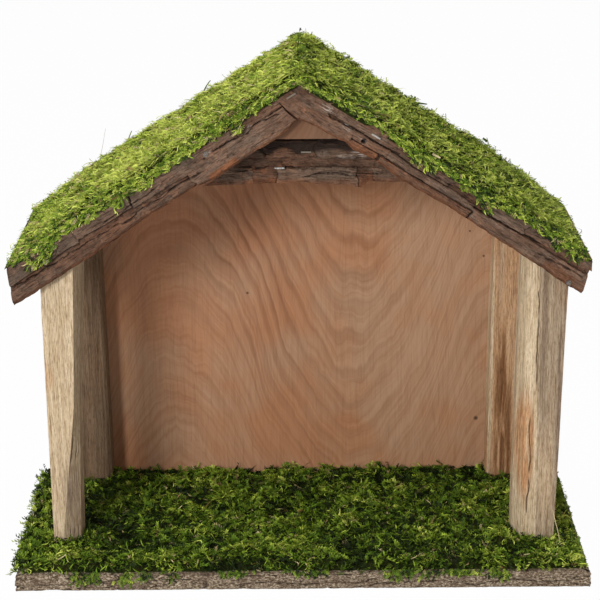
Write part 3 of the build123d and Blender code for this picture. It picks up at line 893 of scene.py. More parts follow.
def bark_relief(along, across, plates, depth, seed):
    """Height of layered bark above its back, with how red and how light each point is, from its plates."""
    along = along + waver(seed, along, across, PLATE_ENDS)
    across = across + waver(seed + 5, along, across, PLATE_SIDES)
    height = depth * (BARK_FLOOR + rough(seed + 10, along, across, FLOOR_SWELL, 1))
    red = LEAST_RED + rough(seed + 11, along, across, FLOOR_RED, 1)
    light = LEAST_LIGHT + rough(seed + 12, along, across, FLOOR_LIGHT, 1)
    for start, end, upper, lower, lift, redness, lightness in plates:
        inset = np.minimum.reduce([along - start, end - along, across - upper, lower - across])
        lift = lift - PLATE_ROUNDING * np.exp(-np.clip(inset, 0, None) / PLATE_ROUNDING)
        proud = (inset > 0) & (lift > height)
        height = np.where(proud, lift, height)
        red = np.where(proud, redness, red)
        light = np.where(proud, lightness, light)
    layers = np.floor(rough(seed + 80, along, across, FLAKES, 4))
    flake = lattice(layers, np.floor(along / FLAKES[1]), seed + 90) - 0.5
    fibres = waver(seed + 20, along, across, BARK_FIBRES)
    scales = waver(seed + 30, along, across, BARK_SCALES)
    height = height + FLAKE_STEP * (layers - 0.5 * FLAKES[0]) + FIBRE_HEIGHT * fibres + SCALE_HEIGHT * scales
    red = red + waver(seed + 60, along, across, RED_DRIFT) + FLAKE_RED * flake
    light = light + SCALE_LIGHT * scales + FIBRE_LIGHT * fibres + FLAKE_LIGHT * flake
    return height, red, light


def collar_painted_shadow(along, below, seed):
    """1 on the collar's top, painted dark as shadow under the gusset, falling to 0 below it and to the right.
    """
    edge = COLLAR_SHADE + waver(seed, along, 0 * along, SHADE_WANDER, 1)
    return ease((edge - below) / SHADE_BLEND) * ease((COLLAR_LIT - along) / LIT_BLEND)


def make_bark(node, spot, grain, plates, seams, flecks, back, depth, seed, columns, rows):
    """A bark strip; grain turns a point's (x, z) into its place along the grain and across it.

    spot gives a point's (x, z) in millimetres from its place along and down the strip, from 0 to 1.
    """
    bm, across, up = sheet(columns, rows)
    down = 1 - up
    x, z = spot(across, down)
    along, below = grain(x, z)
    height, red, light = bark_relief(along, below, plates, depth, seed)
    dark = seam_lines(along, below, seams, seed + 70)
    painted_shadow = np.zeros(len(x))
    scar = np.zeros(len(x))
    lichen = np.zeros(len(x))
    if node == "collar_bark":
        # The collar is darker all over, and its top is painted dark as shadow under the gusset
        light = light - COLLAR_DARKER
        painted_shadow = collar_painted_shadow(along, below, seed + 80)
    if node == "fascia_bark_right":
        scar = spot_mark(along, below, SCAR[0], SCAR[1], SCAR[2], SCAR[2])
    for middle, centre, reach in flecks:
        lichen = np.maximum(lichen, spot_mark(along, below, middle, centre, reach, 0.5 * reach))
    raw = ease((down - 1 + RAW_EDGE) / RAW_EDGE)
    height = height - SEAM_DEPTH * dark - RAW_FALL * depth * raw
    height = height - WORN_FALL * depth * ease((WORN_EDGE - down) / WORN_EDGE)
    red = red + RAW_RED * raw
    for seat_x, seat_z in BARK_SEATS:
        bearing = spot_mark(x, z, seat_x, seat_z, SEAT_REACH, SEAT_REACH)
        height = height + bearing * (depth - height)
    height = np.clip(height - SCAR_DEPTH * scar, THINNEST * depth, depth)
    hollow = blurred(height, columns + 1, BARK_BLUR) - height
    # Painted shade in hollows, seams and the scar, with the collar's painted shadow
    cavity = np.clip(hollow * HOLLOW_PAINTED_SHADE + scar + SEAM_DARK * dark + painted_shadow, 0, 1)
    # What stands proud gets a painted highlight
    light = light + RAW_LIGHT * raw - np.clip(hollow, -MOST_PROUD, 0) * PROUD_PAINTED_LIGHT
    shape(bm, x * MM, back - height * MM, z * MM)
    mark(bm, red=np.clip(red, 0, 1), light=np.clip(light, -1, 1), cavity=cavity, lichen=lichen,
         along=along * MM, below=below * MM)
    bmesh.ops.remove_doubles(bm, verts=bm.verts, dist=TIP_MERGE)
    close_behind(bm, lambda place: (place.x, back, place.z))
    show_relief(node + "_plates", bm, (1, 6, 1), BARK_FINISH, "bark", node)


def roof_line(x):
    """Height of the roof panels' upper face, all in millimetres."""
    return roof_top(x * MM) / MM


def right_grain(x, z):
    """Places along and across the right slope, from the ridge and the roof line, also past the ridge."""
    top = RIDGE_HEIGHT / MM
    along = x * math.cos(PITCH) + (top - z) * math.sin(PITCH)
    below = (top - ROOF_FALL * x - z) * math.cos(PITCH)
    return along, below


def left_grain(x, z):
    """The same for the left slope."""
    return right_grain(-x, z)


def collar_grain(x, z):
    """Places along the level collar, and down from its top."""
    return x, COLLAR_TOP - z


def ragged(edge, places, seed):
    """Drops along an edge, with a fine raggedness."""
    xs, drops = zip(*edge)
    return np.interp(places, xs, drops) + waver(seed, places, 0 * places, EDGE_FRAY)


def left_spot(along, down):
    """Points of the left strip, which starts at the right strip's lap."""
    start = -LAP_REACH + down * (LAP_REACH - LAP_FOOT)
    end = LEFT_END[0] + down * (LEFT_END[1] - LEFT_END[0])
    x = start + along * (end - start)
    return x, roof_line(x) - down * ragged(LEFT_LOWER_EDGE, -x, 71)


def right_spot(along, down):
    """Points of the right strip, which comes to a point past the ridge and stands up in front of the moss."""
    end = RIGHT_END[0] + down * (RIGHT_END[1] - RIGHT_END[0])
    x = -LAP_REACH + along * (end + LAP_REACH)
    drop = np.maximum(ragged(RIGHT_LOWER_EDGE, x, 72), 0) * ease((x + LAP_REACH) / LAP_TIP)
    rise = np.maximum(ragged(RIGHT_UPPER_EDGE, x, 74), 0)
    return x, roof_line(x) - down * drop + (1 - down) * rise


def collar_spot(along, down):
    """Points of the collar, which widens downwards under the roof panels."""
    xs, heights = zip(*COLLAR_LOWER_EDGE)
    reach_top = ((RIDGE_HEIGHT - ROOF_PLUMB) / MM - COLLAR_TOP) / ROOF_FALL
    reach_foot = reach_top + (COLLAR_TOP - heights[0]) / ROOF_FALL
    x = (2 * along - 1) * (reach_top + down * (reach_foot - reach_top))
    foot = np.interp(x, xs, heights) + waver(73, x, 0 * x, COLLAR_FRAY)
    return x, COLLAR_TOP - down * (COLLAR_TOP - foot)


STRIP_COLUMNS = 380
STRIP_ROWS = 54
COLLAR_COLUMNS = 360
COLLAR_ROWS = 70
make_bark("fascia_bark_left", left_spot, left_grain, LEFT_PLATES, LEFT_SEAMS, LEFT_FLECKS,
          BARK_BACK, BARK_DEPTH, 300, STRIP_COLUMNS, STRIP_ROWS)
make_bark("fascia_bark_right", right_spot, right_grain, RIGHT_PLATES, RIGHT_SEAMS, RIGHT_FLECKS,
          BARK_BACK, BARK_DEPTH, 400, STRIP_COLUMNS, STRIP_ROWS)
make_bark("collar_bark", collar_spot, collar_grain, COLLAR_PLATES, COLLAR_SEAMS, COLLAR_FLECKS,
          COLLAR_BACK, COLLAR_DEPTH, 500, COLLAR_COLUMNS, COLLAR_ROWS)


# Board under everything, with a rough edge all round and a recess below each screw. Its roughness is (depth,
# cell round the board, cell up it), in millimetres.
BOARD_COLUMN = 0.9 * MM
BOARD_ROWS = 20
BOARD_LAYERS = (0.7, 22.0, 2.2)
BOARD_PITS = (0.7, 2.4, 1.4)
BOARD_CRACKS = (0.9, 24.0, 2.6)
CRACK_WIDTH = 0.06
BOARD_WEAR = 1.0
TOP_WEAR = 0.14
FOOT_WEAR = 0.08
FOOT_WEAR_SHARE = 0.6
BOARD_CAVITY = 1.5
BOARD_BLUR = 6
BOARD_BORDER = 6.0
SCREW_PLACES = [(-136.5, -29.0), (135.5, -30.0), (-132.5, 57.5), (131.0, 57.5)]
SCREW_HOLE = 4.0 * MM
HOLE_SIDES = 24
SCREW_RECESS = 0.4 * MM


def board_edge():
    """The rough band round the board's edge, open above and below."""
    low, high = BASE_LOW / MM, BASE_HIGH / MM
    outline = [(low.x, low.y), (high.x, low.y), (high.x, high.y), (low.x, high.y)]
    bm, side, along, up, columns = wrapped_sheet(outline, outline, BOARD_COLUMN, BOARD_ROWS)
    spot, out = ring_places(outline, side, along)
    girth = (spot[:, 0] + spot[:, 1]) / MM
    tall = up * BASE_TOP / MM
    depth, long_cell, tall_cell = BOARD_CRACKS
    sunk = rough(700, girth, tall, BOARD_LAYERS) + rough(710, girth, tall, BOARD_PITS)
    sunk = sunk + depth * crack_lines(720, girth / long_cell, tall / tall_cell, CRACK_WIDTH)
    worn = ease((up - 1 + TOP_WEAR) / TOP_WEAR) + FOOT_WEAR_SHARE * ease((FOOT_WEAR - up) / FOOT_WEAR)
    sink(bm, spot, out, up * BASE_TOP, sunk + BOARD_WEAR * worn)
    # Painted shade in the pits and cracks of the edge
    mark(bm, cavity=np.clip((sunk - blurred(sunk, columns, BOARD_BLUR)) * BOARD_CAVITY, 0, 1))
    bmesh.ops.remove_doubles(bm, verts=bm.verts, dist=SEAM_MERGE)
    return bm


def upper_rim(bm):
    """The open edges in the board's upper half."""
    return [edge for edge in rim_of(bm) if edge.verts[0].co.z > BASE_TOP / 2]


def close_top(bm):
    """A flat border inside the board's upper edge, and the top inside that."""
    border, _ = grown(bm, upper_rim(bm))
    reach = BASE_HIGH - Vector((BOARD_BORDER, BOARD_BORDER, 0.0)) * MM
    for vertex in border:
        vertex.co.x = np.clip(vertex.co.x, -reach.x, reach.x)
        vertex.co.y = np.clip(vertex.co.y, -reach.y, reach.y)
        vertex[bm.verts.layers.float["cavity"]] = 0.0
    bmesh.ops.remove_doubles(bm, verts=bm.verts, dist=SEAM_MERGE)
    bmesh.ops.triangle_fill(bm, edges=upper_rim(bm), use_beauty=True)


def close_foot(bm):
    """The underside, with a shallow round recess for each screw."""
    edges = rim_of(bm)
    for x, y in SCREW_PLACES:
        place = Matrix.Translation((x * MM, y * MM, 0))
        ring = bmesh.ops.create_circle(bm, segments=HOLE_SIDES, radius=SCREW_HOLE, matrix=place)["verts"]
        edges += list({edge for vertex in ring for edge in vertex.link_edges})
    bmesh.ops.triangle_fill(bm, edges=edges, use_beauty=True)
    for x, y in SCREW_PLACES:
        middle = Vector((x * MM, y * MM, 0))
        hole = [edge for edge in rim_of(bm) if (edge.verts[0].co - middle).length < 2 * SCREW_HOLE]
        corners, rim = grown(bm, hole)
        bmesh.ops.translate(bm, verts=corners, vec=(0, 0, SCREW_RECESS))
        bmesh.ops.edgeloop_fill(bm, edges=rim)


board = board_edge()
close_top(board)
close_foot(board)
show_relief("base_board_wood", board, (1, 1, 1), board_finish(), "base_wood", "base_board")


# Moss mats: the matted layer under the shoots. Depths are (distance from the ridge, plumb height), in
# millimetres.
SIDES = {"left": -1.0, "right": 1.0}
ROOF_MOSS_FRONT = -47.5 * MM
ROOF_MOSS_REAR = 71.5 * MM
ROOF_MOSS_REACH = 163.8 * MM
RIGHT_BARE = 2.2 * MM
SLOPE_LENGTH = ROOF_MOSS_REACH / math.cos(PITCH)
ROOF_MAT_SPANS = {"left": (-ROOF_MOSS_REACH, 0.0), "right": (0.0, ROOF_MOSS_REACH - RIGHT_BARE)}
ROOF_MAT_DEPTHS = {
    "left": [(0, 7.0), (20, 6.4), (50, 6.0), (120, 5.6), (145, 3.2), (163.8, 0.4)],
    "right": [(0, 7.0), (22, 9.0), (50, 7.4), (115, 7.0), (132, 3.8), (150, 1.2), (163.8, 0.3)]}
ROOF_SEEDS = {"left": 810, "right": 820}
FRONT_LIP = 9 * MM
FRONT_THIN = 0.3
REAR_LIP = 5 * MM
REAR_THIN = 0.7
ROOF_LEAST = 0.5
GROUND_SIDE = 163.6 * MM
GROUND_FRONT = -72.4 * MM
GROUND_REAR = 66.3 * MM
GROUND_MAT = 4.6 * MM
GROUND_FRAY = (3 * MM, 12 * MM, 12 * MM)
GROUND_INSET = 2.4 * MM
GROUND_LIP = 5 * MM
GROUND_LEAST = 0.1
GROUND_LUMPS = 1.8
GROUND_BARE = 0.06
GROUND_SEED = 830
MAT_STEP = 1.8 * MM
MAT_SUNK = 0.1 * MM
# Lumps and tufts as (share of the height, size along x, size along y)
LUMPS = (0.55, 15 * MM, 15 * MM)
TUFTS = (0.45, 5.5 * MM, 5.5 * MM)


def clumps(x, y, seed):
    """How high the moss stands in its lumps and tufts, from 0 to 1."""
    return rough(seed, x, y, LUMPS, 2) + rough(seed + 3, x, y, TUFTS, 1)


def roof_mat_height(x, y, side):
    """Height of a roof mat above the panel, thinning to its front, rear and eave."""
    reach, depths = zip(*ROOF_MAT_DEPTHS[side])
    depth = np.interp(np.abs(x) / MM, reach, depths) * MM
    front = FRONT_THIN + (1 - FRONT_THIN) * ease((y - ROOF_MOSS_FRONT) / FRONT_LIP)
    rear = REAR_THIN + (1 - REAR_THIN) * ease((ROOF_MOSS_REAR - y) / REAR_LIP)
    return depth * np.minimum(front, rear) * (ROOF_LEAST + clumps(x, y, ROOF_SEEDS[side]))


def ground_mat_height(x, y):
    """Height of the mat on the board; it frays out at the board's open edges."""
    fray = rough(GROUND_SEED + 7, x, y, GROUND_FRAY)
    inside = np.minimum(GROUND_SIDE - np.abs(x), y - GROUND_FRONT) - GROUND_INSET - fray
    lumps = GROUND_LEAST + GROUND_LUMPS * clumps(x, y, GROUND_SEED)
    return GROUND_MAT * (ease(inside / GROUND_LIP) * lumps - GROUND_BARE)


def board_top(x):
    """Height at which the ground mat starts, a little inside the board."""
    return BASE_TOP - MAT_SUNK + 0 * x


def make_mat(node, left, right, front, rear, base, height):
    """A lumpy mat over a rectangle, from what carries it up to its height."""
    columns = int((right - left) / MAT_STEP)
    rows = int((rear - front) / MAT_STEP)
    bm, across, up = sheet(columns, rows)
    x = left + across * (right - left)
    y = front + up * (rear - front)
    shape(bm, x, y, base(x) + height(x, y))
    close_behind(bm, lambda place: (place.x, place.y, base(place.x)))
    show_relief(node + "_mat", bm, (1, 1, 4), MAT_FINISH, "moss", node)


for side, span in ROOF_MAT_SPANS.items():
    make_mat("roof_moss_" + side, *span, ROOF_MOSS_FRONT, ROOF_MOSS_REAR, roof_top,
             lambda x, y: roof_mat_height(x, y, side))
make_mat("ground_moss", GROUND_INSET - GROUND_SIDE, GROUND_SIDE - GROUND_INSET, GROUND_FRONT + GROUND_INSET,
         GROUND_REAR, board_top, ground_mat_height)


# Moss shoots: feathery fronds and short strands that lie over the mat, and a few stiff stems. Each kind is a
# small mesh a unit long along Y and about a unit wide, with how light each of its points is; roots and ends
# are darker, as painted shade.
STRAND_TIP = 0.35
STRAND_START = 0.12
FROND_PAIRS = 4
FROND_SHAPE = 0.62
FROND_STEM = (0.09, 0.92, 1.0)
# Leaflets: their width at the root and at the tip, then their length and angle at the stem's foot and tip
LEAF_WIDTHS = (0.15, 0.07)
LEAF_LENGTHS = (0.36, 0.24)
LEAF_ANGLES = (math.radians(58), math.radians(36))
LEAF_TILT = math.radians(28)
FIRST_LEAF = 0.3
LEAF_STAGGER = 0.15


def parts_of(bm, light):
    """A kind's points, faces and lightness, and the end of its mesh."""
    bm.verts.index_update()
    points = np.array([vertex.co for vertex in bm.verts])
    faces = np.array([[vertex.index for vertex in face.verts] for face in bm.faces])
    bm.free()
    return points, faces, np.clip(light(np.abs(points[:, 0]), points[:, 1]), 0.02, 0.98)


def strand_kind():
    """A ribbon that narrows to both ends and is lightest in its middle."""
    bm = bmesh.new()
    bmesh.ops.create_grid(bm, x_segments=1, y_segments=5, size=0.5)
    bmesh.ops.translate(bm, verts=bm.verts, vec=(0, 0.5, 0))
    for vertex in bm.verts:
        turn = math.pi * (STRAND_START + (1 - 2 * STRAND_START) * vertex.co.y)
        vertex.co.x *= STRAND_TIP + (1 - STRAND_TIP) * math.sin(turn)
    return parts_of(bm, lambda aside, along: 0.3 + 0.68 * np.sin(math.pi * along))


def frond_kind():
    """A thin stem with pairs of raised leaflets, which are lightest at their tips."""
    bm = bmesh.new()
    bmesh.ops.create_grid(bm, x_segments=1, y_segments=3, size=0.5)
    bmesh.ops.translate(bm, verts=bm.verts, vec=(0, 0.5, 0))
    bmesh.ops.scale(bm, verts=bm.verts, vec=FROND_STEM)
    for pair in range(FROND_PAIRS):
        for hand in (-1, 1):
            root = (pair + FIRST_LEAF + LEAF_STAGGER * hand) / FROND_PAIRS
            leaf = bmesh.ops.create_grid(bm, x_segments=1, y_segments=1, size=0.5)["verts"]
            for vertex in leaf:
                vertex.co.x *= LEAF_WIDTHS[0] if vertex.co.y < 0 else LEAF_WIDTHS[1]
            bmesh.ops.translate(bm, verts=leaf, vec=(0, 0.5, 0))
            bmesh.ops.scale(bm, verts=leaf, vec=(1.0, np.interp(root, (0, 1), LEAF_LENGTHS), 1.0))
            turn = Matrix.Rotation(-hand * np.interp(root, (0, 1), LEAF_ANGLES), 4, "Z")
            tilt = Matrix.Rotation(LEAF_TILT, 4, "X")
            bmesh.ops.transform(bm, matrix=Matrix.Translation((0, root, 0)) @ turn @ tilt, verts=leaf)
    bmesh.ops.scale(bm, verts=bm.verts, vec=(1 / FROND_SHAPE, 1.0, 1 / FROND_SHAPE))
    return parts_of(bm, lambda aside, along: 0.12 + 0.45 * along + 0.9 * aside)


def stem_kind():
    """A tapering tube."""
    bm = bmesh.new()
    upright = Matrix.Translation((0, 0.5, 0)) @ Matrix.Rotation(-math.pi / 2, 4, "X")
    bmesh.ops.create_cone(bm, cap_ends=False, segments=5, radius1=0.5, radius2=0.3, depth=1.0, matrix=upright)
    sides = [edge for edge in bm.edges if abs(edge.verts[0].co.y - edge.verts[1].co.y) > 0.5]
    bmesh.ops.subdivide_edges(bm, edges=sides, cuts=5, use_grid_fill=True)
    return parts_of(bm, lambda aside, along: 0.4 + 0.5 * along)


STRAND = strand_kind()
FROND = frond_kind()
STEM = stem_kind()
STRAW_TONE = 0.97
BROWN_TONE = 0.9
PALEST_MOSS = 0.8
WAVES = 0.75
SHOOT_TILT = 0.35
LENGTH_RANGE = (0.6, 1.4)
WIDTH_RANGE = (0.7, 1.3)
STRAIGHT = 0.01
# A point's place adds a little to its tone, so that every face has some width on the map
TONE_LEAN = np.array([0.004, 0.0, 0.002])


def unit(vectors):
    """Vectors cut to a length of one."""
    return vectors / np.linalg.norm(vectors, axis=1, keepdims=True)


def batch(rng, roots, ahead, up, size, curl, sway, heave, tones):
    """Shoots of about one size. ahead is the way each grows and up its upper side.

    curl is a mean and a spread in radians; sway and heave are how far a shoot waves aside and up and down, as
    a share of its length.
    """
    count = len(roots)
    length, width = size
    return {
        "roots": roots,
        "ahead": ahead,
        "up": up + rng.normal(0, SHOOT_TILT, (count, 3)),
        "lengths": length * rng.uniform(*LENGTH_RANGE, count),
        "widths": width * rng.uniform(*WIDTH_RANGE, count),
        "curls": rng.normal(curl[0], curl[1], count),
        "sways": rng.normal(0, sway, count),
        "heaves": rng.normal(0, heave, count),
        "phases": rng.random(count),
        "tones": tones,
    }


def plant(name, node, kind, batches):
    """One piece of all the shoots of some batches. A curl bends a shoot towards its upper side."""
    points, faces, light = kind
    joined = {key: np.concatenate([each[key] for each in batches]) for key in batches[0]}
    count, size = len(joined["roots"]), len(points)
    ahead = unit(joined["ahead"])
    aside = unit(np.cross(ahead, joined["up"]))
    up = np.cross(aside, ahead)
    lengths, widths = joined["lengths"][:, None], joined["widths"][:, None]
    along = points[:, 1]
    bend = np.where(np.abs(joined["curls"]) < STRAIGHT, STRAIGHT, joined["curls"])[:, None]
    turn = bend * along
    start = math.tau * joined["phases"][:, None]
    swing = np.sin(math.tau * WAVES * along + start) - np.sin(start)
    bob = np.cos(math.tau * WAVES * along + start) - np.cos(start)
    thick = widths * points[:, 2]
    reach = lengths * np.sin(turn) / bend - thick * np.sin(turn)
    rise = lengths * (1 - np.cos(turn)) / bend + thick * np.cos(turn)
    rise = rise + lengths * joined["heaves"][:, None] * bob
    shift = widths * points[:, 0] + lengths * joined["sways"][:, None] * swing
    places = joined["roots"][:, None] + ahead[:, None] * reach[..., None]
    places += up[:, None] * rise[..., None] + aside[:, None] * shift[..., None]
    owners = (faces[None] + size * np.arange(count)[:, None, None]).ravel()
    mesh = bpy.data.meshes.new(name)
    mesh.vertices.add(count * size)
    mesh.loops.add(len(owners))
    mesh.polygons.add(len(owners) // 4)
    mesh.vertices.foreach_set("co", places.astype(np.float32).ravel())
    mesh.loops.foreach_set("vertex_index", owners.astype(np.int32))
    mesh.polygons.foreach_set("loop_start", np.arange(0, len(owners), 4, dtype=np.int32))
    mesh.update(calc_edges=True)
    mesh.polygons.foreach_set("use_smooth", np.ones(len(owners) // 4, bool))
    tone = joined["tones"][:, None] + points @ TONE_LEAN
    spots = np.stack([tone, np.broadcast_to(light, tone.shape)], axis=-1).reshape(-1, 2)
    mesh.uv_layers.new(name=BAKE_MAP).uv.foreach_set("vector", spots[owners].astype(np.float32).ravel())
    show(name, mesh, SHOOT_FINISH, "moss", node)


# Tones run from 0, the darkest, to PALEST_MOSS. Those of the roof are (distance from the ridge, tone), in
# millimetres.
ROOF_TONES = {"left": [(0, 0.57), (70, 0.62), (110, 0.56), (163, 0.52)],
              "right": [(0, 0.54), (60, 0.52), (163, 0.5)]}
ROOF_DRY = {"left": 0.08, "right": 0.03}
ROOF_CONTRAST = {"left": 0.27, "right": 0.4}
# The ground's tone is low, partly the moss's own dark green and partly painted shade under the roof;
# OUTER_TONE lightens the moss outside the posts, partly as painted light
GROUND_TONE = 0.12
OUTER_TONE = {"left": 0.15, "right": 0.34}
OUTER_START = 132 * MM
OUTER_BLEND = 16 * MM
# Higher clumps are lighter and lower ones darker, as painted light and shade
TONE_BY_STAND = 1.3
TONE_PATCHES = (0.4, 26 * MM, 26 * MM)
# Ways that the shoots turn, in radians: drifts as (strength, size along x, size along y), and a spread
ROOF_DRIFT = {"left": (2.2, 9 * MM, 9 * MM), "right": (4.4, 9 * MM, 9 * MM)}
ROOF_SPREAD = {"left": 0.5, "right": 0.7}
GROUND_DRIFT = (6.4, 12 * MM, 12 * MM)
GROUND_SPREAD = 0.8
# Room left at the eave, and how high the mat is where shoots rise fully and where none grow
EAVE_MARGIN = {"left": 0.8 * MM, "right": 3.2 * MM}
FULL_MAT = 4 * MM
BARE_GROUND = 0.1 * MM
# Shoots as (length, width), and how steeply they lie or rise, in radians
ROOF_STRAND = (5.8 * MM, 0.58 * MM)
ROOF_FROND = (4.2 * MM, 2.6 * MM)
GROUND_STRAND = (5.2 * MM, 0.6 * MM)
GROUND_FROND = (5.2 * MM, 3.4 * MM)
LYING = (-0.12, 0.25)
RISING = (-0.1, 0.55)
# Numbers of shoots, and how far from the ridge those that cross it root, in millimetres
ROOF_STRANDS = 18500
ROOF_FRONDS = 4200
RIDGE_FRONDS = 500
RIDGE_REACH = 3.0
GROUND_STRANDS = 18500
GROUND_FRONDS = 6000
# How shoots grow: the mean and spread of their curl, then how far they sway and heave
ROOF_GROWTH = ((-0.2, 0.5), 0.16, 0.06)
RIDGE_GROWTH = ((-0.9, 0.4), 0.15, 0.05)
GROUND_GROWTH = ((-0.3, 0.8), 0.13, 0.06)
HANGING_GROWTH = ((-0.3, 0.4), 0.12, 0.05)
RIM_GROWTH = ((-0.5, 0.5), 0.12, 0.05)
POST_GROWTH = ((0.2, 0.5), 0.12, 0.05)
# How far roots stand off the mat, in millimetres, the share of that where it is thin, and what a millimetre
# counts for as height in a clump, so that proud shoots are lighter and sunken ones darker, as painted light
# and shade
ROOF_PROUD = (-0.6, 1.0)
ROOF_PROUD_LEAST = 0.3
ROOF_PROUD_TONE = 0.2
GROUND_PROUD = (-0.8, 1.2)
GROUND_PROUD_TONE = 0.12
RIDGE_PROUD = (0.0, 1.0)
# What stands for the clumps' height where shoots leave the mats
EDGE_STAND = (0.3, 0.7)
FOOT_STAND = (0.2, 0.7)
# Ways over the ridge and at the board's edges: how far across and up, and how widely they spread along
RIDGE_ACROSS = (0.2, 1.0)
RIDGE_UP = (-0.1, 0.3)
RIM_INWARD = -0.4
RIM_UP = (-0.1, 0.7)
WAY_SPREAD = 0.7
# How hanging shoots spread over a face and lean off it
HANG_SPREAD = 0.3
HANG_OUT = 0.1
BACKWARD = np.array([0.0, 1.0, 0.0])
FORWARD = -BACKWARD
UPWARD = np.array([0.0, 0.0, 1.0])


def moss_tones(rng, mean, x, y, stand, seed, dry=0.02, spread=0.2):
    """Tones that drift in patches, with a share of dry shoots, and follow the clumps: high ones are
    lighter and low ones darker, as painted light and shade.
    """
    tones = mean + TONE_BY_STAND * (stand - 0.5) + waver(seed, x, y, TONE_PATCHES)
    tones = np.clip(tones + rng.normal(0, spread, len(x)), 0.0, PALEST_MOSS)
    return np.where(rng.random(len(x)) < dry, rng.uniform(BROWN_TONE, STRAW_TONE, len(x)), tones)


def upright(count):
    """The way up, once for each shoot."""
    return np.tile(UPWARD, (count, 1))


def slope_ways(x):
    """Ways down the slope and out of it, for places on the roof."""
    side = np.where(x < 0, -1.0, 1.0)
    flat = np.zeros_like(x)
    down = np.stack([side * math.cos(PITCH), flat, flat - math.sin(PITCH)], axis=1)
    out = np.stack([side * math.sin(PITCH), flat, flat + math.cos(PITCH)], axis=1)
    return down, out


def roof_tone(x, side):
    """Mean tone of the moss at a distance from the ridge."""
    return np.interp(np.abs(x) / MM, *zip(*ROOF_TONES[side]))


def raised(level, out, steep):
    """Ways that lie level, raised by an angle towards the way out."""
    return level * np.cos(steep)[:, None] + out * np.sin(steep)[:, None]


def roof_cover(side, count, size, lift, seed):
    """Shoots over one slope, combed down it in drifts, but inwards by its edges. lift is how steep."""
    rng = np.random.default_rng(seed)
    margin = EAVE_MARGIN[side]
    slant = rng.uniform(0.0, SLOPE_LENGTH - margin, count)
    x = SIDES[side] * slant * math.cos(PITCH)
    y = rng.uniform(ROOF_MOSS_FRONT, ROOF_MOSS_REAR, count)
    down, out = slope_ways(x)
    turn = waver(seed + 1, x, y, ROOF_DRIFT[side], 2) + rng.normal(0, ROOF_SPREAD[side], count)
    turn = np.where((slant > SLOPE_LENGTH - size[0] - margin) & (np.cos(turn) > 0), math.pi - turn, turn)
    overhangs = np.where(np.sin(turn) < 0, y - ROOF_MOSS_FRONT < size[0], ROOF_MOSS_REAR - y < size[0])
    turn = np.where(overhangs, -turn, turn)
    mat = roof_mat_height(x, y, side)
    thick = ease(mat / FULL_MAT)
    steep = rng.uniform(*lift, count) * thick
    ahead = raised(raised(down, BACKWARD, turn), out, steep)
    proud = rng.uniform(*ROOF_PROUD, count) * MM * (ROOF_PROUD_LEAST + (1 - ROOF_PROUD_LEAST) * thick)
    roots = np.stack([x, y, roof_top(x) + mat], axis=1) + out * proud[:, None]
    stand = clumps(x, y, ROOF_SEEDS[side]) + ROOF_PROUD_TONE * proud / MM
    tones = moss_tones(rng, roof_tone(x, side), x, y, stand, seed + 2, ROOF_DRY[side], ROOF_CONTRAST[side])
    return batch(rng, roots, ahead, out, size, *ROOF_GROWTH, tones)


def ridge_cover(size, seed):
    """Shoots that lie over the ridge, from one slope to the other."""
    rng = np.random.default_rng(seed)
    count = RIDGE_FRONDS
    x = rng.uniform(-RIDGE_REACH, RIDGE_REACH, count) * MM
    y = rng.uniform(ROOF_MOSS_FRONT + size[0] / 2, ROOF_MOSS_REAR - size[0] / 2, count)
    height = np.where(x < 0, roof_mat_height(x, y, "left"), roof_mat_height(x, y, "right"))
    roots = np.stack([x, y, roof_top(x) + height + rng.uniform(*RIDGE_PROUD, count) * MM], axis=1)
    ahead = np.stack([-np.sign(x) * rng.uniform(*RIDGE_ACROSS, count), rng.normal(0, WAY_SPREAD, count),
                      rng.uniform(*RIDGE_UP, count)], axis=1)
    tones = moss_tones(rng, roof_tone(x, "left"), x, y, rng.uniform(*EDGE_STAND, count), seed + 2)
    return batch(rng, roots, ahead, upright(count), size, *RIDGE_GROWTH, tones)


def clear_of_posts(x, y):
    """Which places on the board aren't under a post."""
    free = np.ones(len(x), bool)
    for post in POSTS.values():
        xs, ys = zip(*post["foot"])
        free &= ~((x > min(xs) * MM) & (x < max(xs) * MM) & (y > min(ys) * MM) & (y < max(ys) * MM))
    return free


def ground_cover(count, size, lift, seed):
    """Shoots over the board, every way, with none inside the posts; those by its edges point inwards."""
    rng = np.random.default_rng(seed)
    x = rng.uniform(-GROUND_SIDE, GROUND_SIDE, count)
    y = rng.uniform(GROUND_FRONT, GROUND_REAR, count)
    free = clear_of_posts(x, y) & (ground_mat_height(x, y) > BARE_GROUND)
    x, y = x[free], y[free]
    count = len(x)
    turn = waver(seed + 1, x, y, GROUND_DRIFT, 2) + rng.normal(0, GROUND_SPREAD, count) - math.pi / 2
    steep = rng.uniform(*lift, count)
    by_side = np.sign(x) * (GROUND_SIDE - np.abs(x) < size[0])
    by_front = -1.0 * (y - GROUND_FRONT < size[0])
    inwards = np.where(np.cos(turn) * by_side + np.sin(turn) * by_front > 0, -1.0, 1.0)
    level = np.stack([np.cos(turn) * inwards, np.sin(turn) * inwards, np.zeros(count)], axis=1)
    ahead = raised(level, UPWARD, steep)
    proud = rng.uniform(*GROUND_PROUD, count) * MM
    roots = np.stack([x, y, BASE_TOP + ground_mat_height(x, y) + proud], axis=1)
    stand = clumps(x, y, GROUND_SEED) + GROUND_PROUD_TONE * proud / MM
    outer = np.where(x < 0, OUTER_TONE["left"], OUTER_TONE["right"])
    mean = GROUND_TONE + outer * ease((np.abs(x) - OUTER_START) / OUTER_BLEND)
    tones = moss_tones(rng, mean, x, y, stand, seed + 2)
    return batch(rng, roots, ahead, upright(count), size, *GROUND_GROWTH, tones)


